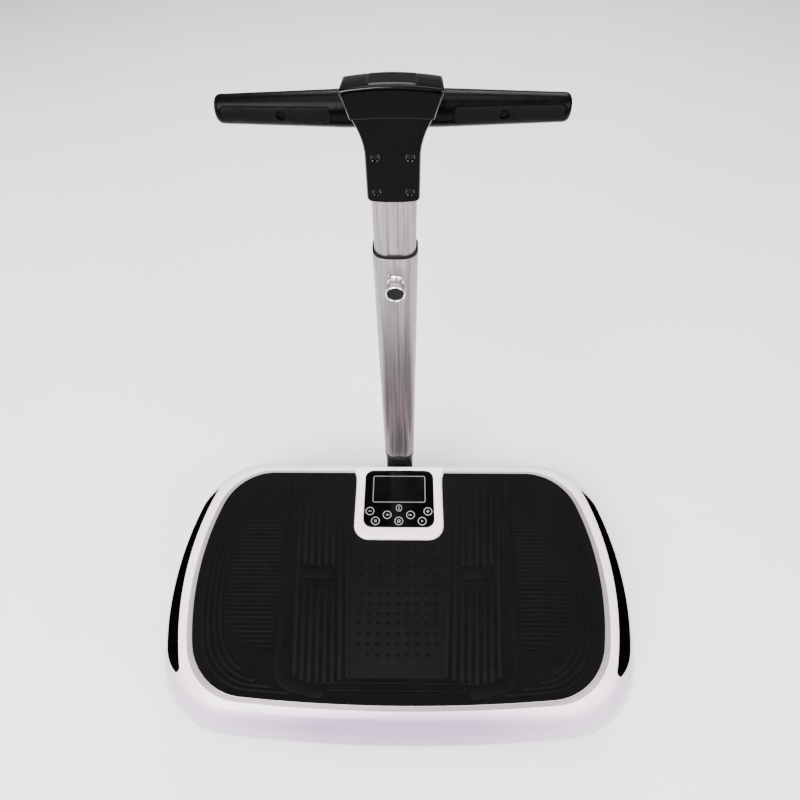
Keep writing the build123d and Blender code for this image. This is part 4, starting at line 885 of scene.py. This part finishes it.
TUBE_WALL = 1.5
CLAMP_Z = 523
outer_tube = column_tube("outer_column", TUBE_LOW, TUBE_HIGH, 15)
for z in (185, 215):
    combine(outer_tube, drum("hole", (0, COLUMN_Y, z), [(5, 3), (40, 3)], "Y", 24), "DIFFERENCE", angle=28)
clamp_hole = drum("hole", (0, COLUMN_Y, CLAMP_Z), [(-40, 5), (-5, 5)], "Y", 24)
combine(outer_tube, clamp_hole, "DIFFERENCE", angle=28)
place(outer_tube, "base", "column_aluminium", "outer_tube")
inner_tube = column_tube("inner_column", INNER_LOW, INNER_HIGH, 12.8)
place(inner_tube, "mast", "column_aluminium", "inner_tube")

BUSH_LOW, BUSH_HIGH = box_mm("guide_bush")


def bush_ring(half_x, half_y, radius, z):
    """Rounded ring centred on the column."""
    outline = rounded_box(-half_x, half_x, -half_y, half_y, radius, radius, 10)
    return [(x, COLUMN_Y + y, z) for x, y in outline]


bush = skinned(
    "column_collar",
    [
        bush_ring(21.1, 17.6, 12.6, BUSH_LOW.z), bush_ring(21.4, 17.9, 13.2, BUSH_LOW.z),
        bush_ring(21.4, 17.9, 13.4, TUBE_HIGH.z), bush_ring(23, 19.5, 15, TUBE_HIGH.z + 0.02),
        bush_ring(23, 19.5, 15, BUSH_HIGH.z - 0.9), bush_ring(22.6, 19.1, 14.6, BUSH_HIGH.z - 0.2),
        bush_ring(22, 18.5, 14, BUSH_HIGH.z), bush_ring(21.4, 17.9, 13.4, BUSH_HIGH.z - 0.2),
        bush_ring(21.1, 17.6, 13.1, BUSH_HIGH.z - 0.8),
    ],
    wrap=True,
)
place(bush, "base", "black_plastic", "guide_bush")

boot = skinned(
    "column_socket",
    [
        bush_ring(29, 21, 12, 45), bush_ring(29, 21, 12, 47.6), bush_ring(28.4, 20.4, 11.6, 48.7),
        bush_ring(27, 19.4, 11.4, 49), bush_ring(23.4, 19, 13, 50.4), bush_ring(22.2, 18.6, 13.8, 54),
        bush_ring(21.6, 18.1, 13.8, 70), bush_ring(21.4, 17.9, 13.6, 150), bush_ring(22.4, 18.9, 14.4, 156),
        bush_ring(22.9, 19.4, 14.9, 157.4), bush_ring(22.9, 19.4, 14.9, 164.2),
        bush_ring(21.3, 17.8, 13.4, 164.6), bush_ring(21.3, 17.8, 13.4, 234.5),
        bush_ring(18.6, 15.2, 11, 235), bush_ring(18.6, 15.2, 11, 45),
    ],
    wrap=True,
)
place(boot, "base", "black_plastic", "column_boot")

# ---------------------------------------------------------------- clamp knob
KNOB_LOW, KNOB_HIGH = box_mm("clamp_knob")
KNOB_Z = (KNOB_LOW.z + KNOB_HIGH.z) / 2
KNOB_RADIUS = (KNOB_HIGH.z - KNOB_LOW.z) / 2
face_y = KNOB_LOW.y


def knurled_ring(radius, depth, y):
    """Ring with 36 teeth."""
    ring = []
    for i in range(144):
        a = 2 * pi * i / 144
        r = radius - depth * (0, 0.45, 1, 0.45)[i % 4]
        ring.append((r * cos(a), y, KNOB_Z + r * sin(a)))
    return ring


knob = skinned(
    "clamp_handwheel",
    [
        knurled_ring(8.2, 0, face_y + 1.5), knurled_ring(8.4, 0, face_y + 0.8),
        knurled_ring(8.9, 0, face_y + 0.15), knurled_ring(9.4, 0, face_y),
        knurled_ring(9.9, 0.1, face_y + 0.35),
        knurled_ring(KNOB_RADIUS, 0.5, face_y + 1.3), knurled_ring(KNOB_RADIUS, 0.5, face_y + 8.4),
        knurled_ring(9.8, 0.05, face_y + 9.2), knurled_ring(9.2, 0, face_y + 9.6),
        knurled_ring(8.6, 0, face_y + 10.2), knurled_ring(8.6, 0, face_y + 12.2),
        knurled_ring(8.2, 0, face_y + 13), knurled_ring(4, 0, face_y + 13),
        knurled_ring(4, 0, KNOB_HIGH.y - 0.4), knurled_ring(3.6, 0, KNOB_HIGH.y),
    ],
    40,
)
knob.data.materials.append(MATERIALS["knob_chrome"])
knob.data.materials.append(MATERIALS["black_plastic"])
for face in knob.data.polygons:
    if len(face.vertices) > 8 and face.center.y / MM < face_y + 2:
        face.material_index = 1
place(knob, "knob", "knob_chrome", "clamp_knob")
BOSS_LOW, BOSS_HIGH = box_mm("clamp_boss")
boss = skinned(
    "clamp_collar",
    [
        [(r * cos(2 * pi * i / 40), y, KNOB_Z + r * sin(2 * pi * i / 40)) for i in range(40)]
        for r, y in ((4.05, BOSS_HIGH.y), (8.6, BOSS_HIGH.y),
                     (8.4, BOSS_HIGH.y - 0.9), (7.4, BOSS_HIGH.y - 1.8),
                     (7, BOSS_HIGH.y - 2.8), (7, BOSS_LOW.y + 0.6), (6.5, BOSS_LOW.y), (4.05, BOSS_LOW.y))
    ],
    wrap=True,
)
place(boss, "base", "knob_chrome", "clamp_boss")

# ---------------------------------------------------------------- T-head
HEAD_LOW, HEAD_HIGH = box_mm("head_front_cover")
HEAD_FRONT = HEAD_LOW.y
HEAD_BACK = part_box("head_rear_cover")[1].y / MM
HEAD_FOOT, HEAD_CROWN = HEAD_LOW.z, HEAD_HIGH.z
SPLIT_Y = COLUMN_Y


def curve_through(a, b, c, steps):
    """Quadratic curve from a to c pulled towards b, its end point left out."""
    return [
        tuple((1 - t) ** 2 * p + 2 * t * (1 - t) * q + t * t * r for p, q, r in zip(a, b, c))
        for t in (i / steps for i in range(steps))
    ]


def head_half():
    """Right half of the head seen from the front, from the middle of its foot to its crown."""
    f, c = HEAD_FOOT, HEAD_CROWN - 0.9
    points = curve_through((0, f), (10, f), (18.5, f + 0.9), 8)
    points += curve_through((18.5, f + 0.9), (23.2, f + 1.4), (23.3, f + 6), 8)
    points += [(23.3 - 0.1 * i / 6, f + 6 + 36 * i / 6) for i in range(6)]
    points += curve_through((23.2, f + 42), (23.2, f + 59), (34.6, 692.5), 18)
    points += [(34.6 + 4.9 * i / 5, 692.5 + 13.6 * i / 5) for i in range(5)]
    points += curve_through((39.5, 706.1), (41, 710), (37, 710.4), 8)
    points += curve_through((37, 710.4), (18, c), (0, c), 16)
    return points


def lean_at(y):
    """How much lower the crown is at a depth than at its front."""
    return (y - HEAD_FRONT) / (HEAD_BACK - HEAD_FRONT) * 7.5


def head_ring(y, inset=0.0):
    """Outline of the head at a depth, moved in, with its crown falling to the back."""
    half = head_half()
    outline = half + [(0, HEAD_CROWN - 0.9)] + [(-x, z) for x, z in reversed(half[1:])]
    ring = []
    for (_, z), (moved_x, moved_z) in zip(outline, shifted(outline, inset)):
        rise = min(max((z - 686) / 26, 0), 1)
        ring.append((moved_x, y, moved_z - lean_at(y) * rise * rise * (3 - 2 * rise)))
    return ring


def shell_rings(face_y, direction, reach):
    """Rings of a rounded edge from the side wall to the flat face."""
    rings = []
    for a in (0.0, 0.35, 0.7, 1.05, 1.35, pi / 2):
        rings.append(head_ring(face_y - direction * reach * (1 - sin(a)), reach * (1 - cos(a))))
    return rings


front_shell = skinned(
    "head_front_shell",
    [head_ring(SPLIT_Y - 0.1, 0.5), head_ring(SPLIT_Y - 0.5, 0)] + shell_rings(HEAD_FRONT, -1, 2.2),
    30,
)
rear_shell = skinned(
    "head_rear_shell",
    [head_ring(SPLIT_Y + 0.1, 0.5), head_ring(SPLIT_Y + 0.5, 0)] + shell_rings(HEAD_BACK, 1, 5.5),
    30,
)
throat = skinned("throat", [bush_ring(20.9, 17.4, 12.9, 600), bush_ring(20.9, 17.4, 12.9, 672.2)])
combine(front_shell, throat, "DIFFERENCE", keep=True, angle=30)
combine(rear_shell, throat, "DIFFERENCE", angle=30)
SCREWS = [(x, z) for x in (-14.5, 14.5) for z in (627, 658)]
for x, z in SCREWS:
    well = drum("well", (x, HEAD_FRONT, z), [(-2, 3.9), (0, 3.7), (0.35, 3.15), (2.3, 3.1)], "Y", 28)
    combine(front_shell, well, "DIFFERENCE", angle=30)
place(front_shell, "mast", "head_black", "head_front_cover")
place(rear_shell, "mast", "head_black", "head_rear_cover")

# Upper face plate, its lower edge arched, with a bevel that catches the light
plate = []
for i in range(17):
    x = -32.2 + 64.4 * i / 16
    plate.append((x, 688.6 + 1.1 * (1 - (x / 32.2) ** 2)))
plate += [(33.2, 689.8), (38.2, 706.2), (37.6, 708.2), (35.6, 709.2)]
plate += [(x, 709.2 + 2.6 * (1 - (x / 35.6) ** 2)) for x in (28, 20, 12, 4, -4, -12, -20, -28)]
plate += [(-35.6, 709.2), (-37.6, 708.2), (-38.2, 706.2), (-33.2, 689.8)]


def plate_ring(shrink, y, tilt=0.0):
    """Outline of the plate, shrunk and tilted."""
    middle, reach = 700.2, 11.6
    return [
        (x * (1 - shrink / 38), y + tilt * (z - 688) / 24, middle + (z - middle) * (1 - shrink / reach))
        for x, z in plate
    ]


brow = skinned(
    "head_brow",
    [plate_ring(0, HEAD_FRONT + 1.2), plate_ring(0, HEAD_FRONT - 0.6),
     plate_ring(0.35, HEAD_FRONT - 1.2, 0.2),
     plate_ring(0.95, HEAD_FRONT - 1.5, 0.3), plate_ring(2.2, HEAD_FRONT - 1.5, 0.3)],
    30,
)
place(brow, "mast", "head_black")
# Edges in a glossier, slightly lighter copy of the head black, a painted highlight along them
for cover in (front_shell, brow):
    cover.data.materials.append(MATERIALS["head_edge_highlight"])
    for face in cover.data.polygons:
        if abs(face.normal.y) < 0.93 and face.normal.z < 0.5 and face.center.y / MM < HEAD_FRONT + 2.3:
            face.material_index = 1

# Raised cap on the crown
CAP_HALF, CAP_FRONT, CAP_DEPTH = 20.5, HEAD_FRONT + 3, 36
crown = bmesh.new()
grid = []
for j in range(13):
    y = CAP_FRONT + CAP_DEPTH * j / 12
    row = []
    for i in range(21):
        x = -CAP_HALF + 2 * CAP_HALF * i / 20
        edge = min(CAP_HALF - abs(x), y - CAP_FRONT, CAP_FRONT + CAP_DEPTH - y)
        lift = 0.9 * min(edge / 1.6, 1) ** 0.5 if edge > 0 else -0.5
        arch = (HEAD_CROWN - 0.9) - 3.2 * (x / 37) ** 2
        row.append((x, y, arch - lean_at(y) + lift))
    grid.append(row)
rows = [[crown.verts.new(p) for p in row] for row in grid]
floor_rows = [[crown.verts.new((x, y, z - 2.2)) for x, y, z in row] for row in grid]
for sheet in (rows, floor_rows):
    for a, b in zip(sheet, sheet[1:]):
        for i in range(len(a) - 1):
            crown.faces.new((a[i], a[i + 1], b[i + 1], b[i]))


def border(sheet):
    """The corners of a grid's edge, in order."""
    return sheet[0] + [row[-1] for row in sheet[1:]] + sheet[-1][-2::-1] + [row[0] for row in sheet[-2:0:-1]]


rim_top, rim_low = border(rows), border(floor_rows)
for i in range(len(rim_top)):
    j = (i + 1) % len(rim_top)
    crown.faces.new((rim_top[i], rim_top[j], rim_low[j], rim_low[i]))
place(to_object("head_cap", crown, 40), "mast", "head_black")

# Moulded arc between the upper screws
mark = bmesh.new()
rings = []
for i in range(15):
    x = -10.5 + 21 * i / 14
    z = 659.5 + 2.6 * (1 - (x / 10.5) ** 2)
    rings.append([(x, HEAD_FRONT + 0.2, z - 0.45), (x, HEAD_FRONT - 0.22, z - 0.15),
                  (x, HEAD_FRONT - 0.22, z + 0.15), (x, HEAD_FRONT + 0.2, z + 0.45)])
skin(mark, rings)
place(to_object("head_arc", mark), "mast", "head_black")


def cross_screw(x, y, z, radius, thickness):
    """Pan-head screw with a cross recess, facing -Y."""
    profile = [(thickness, radius), (0.75, radius)]
    profile += [(0.35, radius * 0.93), (0.1, radius * 0.7), (0, radius * 0.3)]
    head = drum("head", (x, y, z), profile, "Y", 32)
    for turn in (0.4, 0.4 + pi / 2):
        ca, sa = cos(turn), sin(turn)
        bm = bmesh.new()
        rings = []
        for along, half in ((-0.66, 0.1), (-0.6, 0.32), (0.6, 0.32), (0.66, 0.1)):
            u = along * radius
            rings.append([
                (x + u * ca - s * half * sa, y + d, z + u * sa + s * half * ca)
                for s, d in ((-1, -1), (1, -1), (0.6, 0.9), (-0.6, 0.9))
            ])
        skin(bm, rings)
        combine(head, to_object("slit", bm), "DIFFERENCE")
    return head


neck = joined([cross_screw(x, HEAD_FRONT + 0.9, z, 2.9, 2.2) for x, z in SCREWS], "neck_screw_heads")
neck.data.materials.clear()
place(neck, "mast", "black_plastic", "neck_screws")

# ---------------------------------------------------------------- grips
BAR_Z = (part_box("handle_bar")[0].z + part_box("handle_bar")[1].z) / 2 / MM
GRIP_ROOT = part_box("right_grip")[0].x / MM
GRIP_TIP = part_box("right_grip")[1].x / MM
TAPER_START = 38.0
ROOT_RADIUS, TIP_RADIUS = 13.75, 10.5
SCREW_X = 88


def grip_radius(x):
    """Radius of the tapering grip."""
    return ROOT_RADIUS + (TIP_RADIUS - ROOT_RADIUS) * (x - TAPER_START) / (GRIP_TIP - 2 - TAPER_START)


def make_grip(side, name):
    """Tapered grip cut to the head's flank, with a textured pad set into its front."""
    profile = [(GRIP_ROOT, 13.3), (GRIP_ROOT + 0.6, ROOT_RADIUS), (TAPER_START, ROOT_RADIUS)]
    profile += [(x, grip_radius(x)) for x in (44, 60, 80, 100, 120, 134, 136.5)]
    profile += [(GRIP_TIP - 4.5 + 4.5 * sin(a), grip_radius(136.5) - 4.5 * (1 - cos(a))) for a in
                (0.3, 0.6, 0.9, 1.2, 1.4, pi / 2)]
    profile.append((GRIP_TIP, 3.0))
    rings = []
    for x, r in profile:
        rings.append([(side * x, COLUMN_Y + r * cos(2 * pi * i / 56), BAR_Z + r * sin(2 * pi * i / 56))
                      for i in range(56)])
    grip = skinned(name + "_body", rings, 32)
    flank = skinned("flank", [head_ring(HEAD_FRONT - 2, -0.25), head_ring(HEAD_BACK + 2, -0.25)])
    combine(grip, flank, "DIFFERENCE", angle=32)

    def patch(inset, lift):
        """Rounded rectangle laid on the grip's front, lifted off it or sunk into it."""
        radius = max(0.4, min(4 - inset * 0.6, 6.45 - inset))
        outline = rounded_box(48 + inset, 136 - inset, -6.5 + inset, 6.5 - inset, radius, radius, 6)
        ring = []
        for x, h in divided(outline):
            r = grip_radius(x) + lift
            ring.append((side * x, COLUMN_Y - sqrt(r * r - h * h), BAR_Z + h))
        return ring

    floor_rings = [patch(inset, -1.3) for inset in (6, 4, 2, 0)]
    pocket = skinned("pocket", floor_rings + [patch(0, 4.5)])
    combine(grip, pocket, "DIFFERENCE", angle=32)
    pad_section = ((6, -1.2), (4, -1.2), (2, -1.2), (0.35, -1.2), (0.35, -0.25), (0.6, 0.1),
                   (1.1, 0.25), (2.5, 0.3), (4.2, 0.32), (6.0, 0.32))
    pad = skinned(name + "_pad", [patch(inset, lift) for inset, lift in pad_section], 40)
    hole = drum("hole", (side * SCREW_X, COLUMN_Y, BAR_Z), [(-20, 4.0), (-12.4, 3.7), (-8.5, 3.6)], "Y", 28)
    combine(pad, hole, "DIFFERENCE", angle=40)
    hole = drum("hole", (side * SCREW_X, COLUMN_Y, BAR_Z), [(-20, 2.6), (-8.3, 2.6)], "Y", 28)
    combine(grip, hole, "DIFFERENCE", angle=32)
    place(grip, "mast", "grip_black", name)
    place(pad, "mast", "inlay_rubber", name + "_inlay")


make_grip(-1, "left_grip")
make_grip(1, "right_grip")

# ---------------------------------------------------------------- feet
# Suction cup from its inside, round its lip, up its neck to the collar under the base: height, radius
FOOT_SECTION = [
    (5, 4), (5, 8), (3.4, 14), (1.6, 19.5), (0.15, 22.4), (0, 23.4), (0, 25.6), (0.5, 26), (1.3, 25.2),
    (2.6, 21.6), (5.4, 18.8), (8, 18), (8.4, 16.4), (9, 16), (9.6, 16.4), (10.2, 17.4), (11.3, 17.4),
    (12, 16.4), (12, 4),
]
FOOT_SPOTS = [(x, y) for x in (-250, 250) for y in (-120, 120)]
for number, (x, y) in enumerate(FOOT_SPOTS, 1):
    foot = drum(f"foot_{number}", (x, y, 0), FOOT_SECTION, steps=56)
    place(foot, "base", "foot_rubber", "suction_feet")

# ---------------------------------------------------------------- carried-over CAD nodes
BLACKENED = {"grip_screws"}
for name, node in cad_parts.items():
    if node.hide_render:
        continue
    slot = node.data.materials[0].name.split(".")[0] if node.data.materials else ""
    if name in BLACKENED:
        slot = "grip_black"
    material = MATERIALS.get(slot)
    if material is None:
        raise RuntimeError(f"no finish for {name}: {slot}")
    node.data.materials.clear()
    node.data.materials.append(material)


# ---------------------------------------------------------------- floor and light
def make_floor():
    """Wide plain floor."""
    bm = bmesh.new()
    edge = 9000
    rows = []
    for i in range(25):
        y = -edge + 2 * edge * i / 24
        rows.append([bm.verts.new((x, y, 0)) for x in (-edge, 0, edge)])
    for a, b in zip(rows, rows[1:]):
        for i in range(2):
            bm.faces.new((a[i], a[i + 1], b[i + 1], b[i]))
    obj = to_object("floor_sheet", bm)
    obj.data.materials.append(MATERIALS["floor"])


make_floor()


def lamp(name, spot, target, size, power, colour=(1, 1, 1)):
    """Soft rectangular light that faces a point."""
    data = bpy.data.lights.new(name, "AREA")
    data.shape = "RECTANGLE"
    data.size, data.size_y = size
    data.energy = power
    data.color = colour
    obj = bpy.data.objects.new(name, data)
    obj.location = spot
    obj.rotation_euler = (Vector(target) - Vector(spot)).to_track_quat("-Z", "Y").to_euler()
    bpy.context.scene.collection.objects.link(obj)


lamp("key", (-1.1, -1.7, 2.5), (0, 0, 0.2), (2.0, 2.0), 230)
lamp("fill", (2.0, -1.5, 2.1), (0, 0, 0.3), (2.0, 2.0), 130, (1, 0.98, 1))
lamp("back", (0.4, 2.6, 2.9), (0, 0.1, 0.3), (2.4, 1.4), 110)
lamp("left", (-2.6, 0.5, 1.2), (0, 0.1, 0.3), (1.2, 1.6), 40)
lamp("above", (0, 0.1, 3.4), (0, 0.1, 0), (1.6, 1.6), 60)
world = bpy.data.worlds.new("studio")
world.use_nodes = True
world.node_tree.nodes["Background"].inputs["Color"].default_value = (0.98, 0.98, 1, 1)
world.node_tree.nodes["Background"].inputs["Strength"].default_value = 0.22
bpy.context.scene.world = world
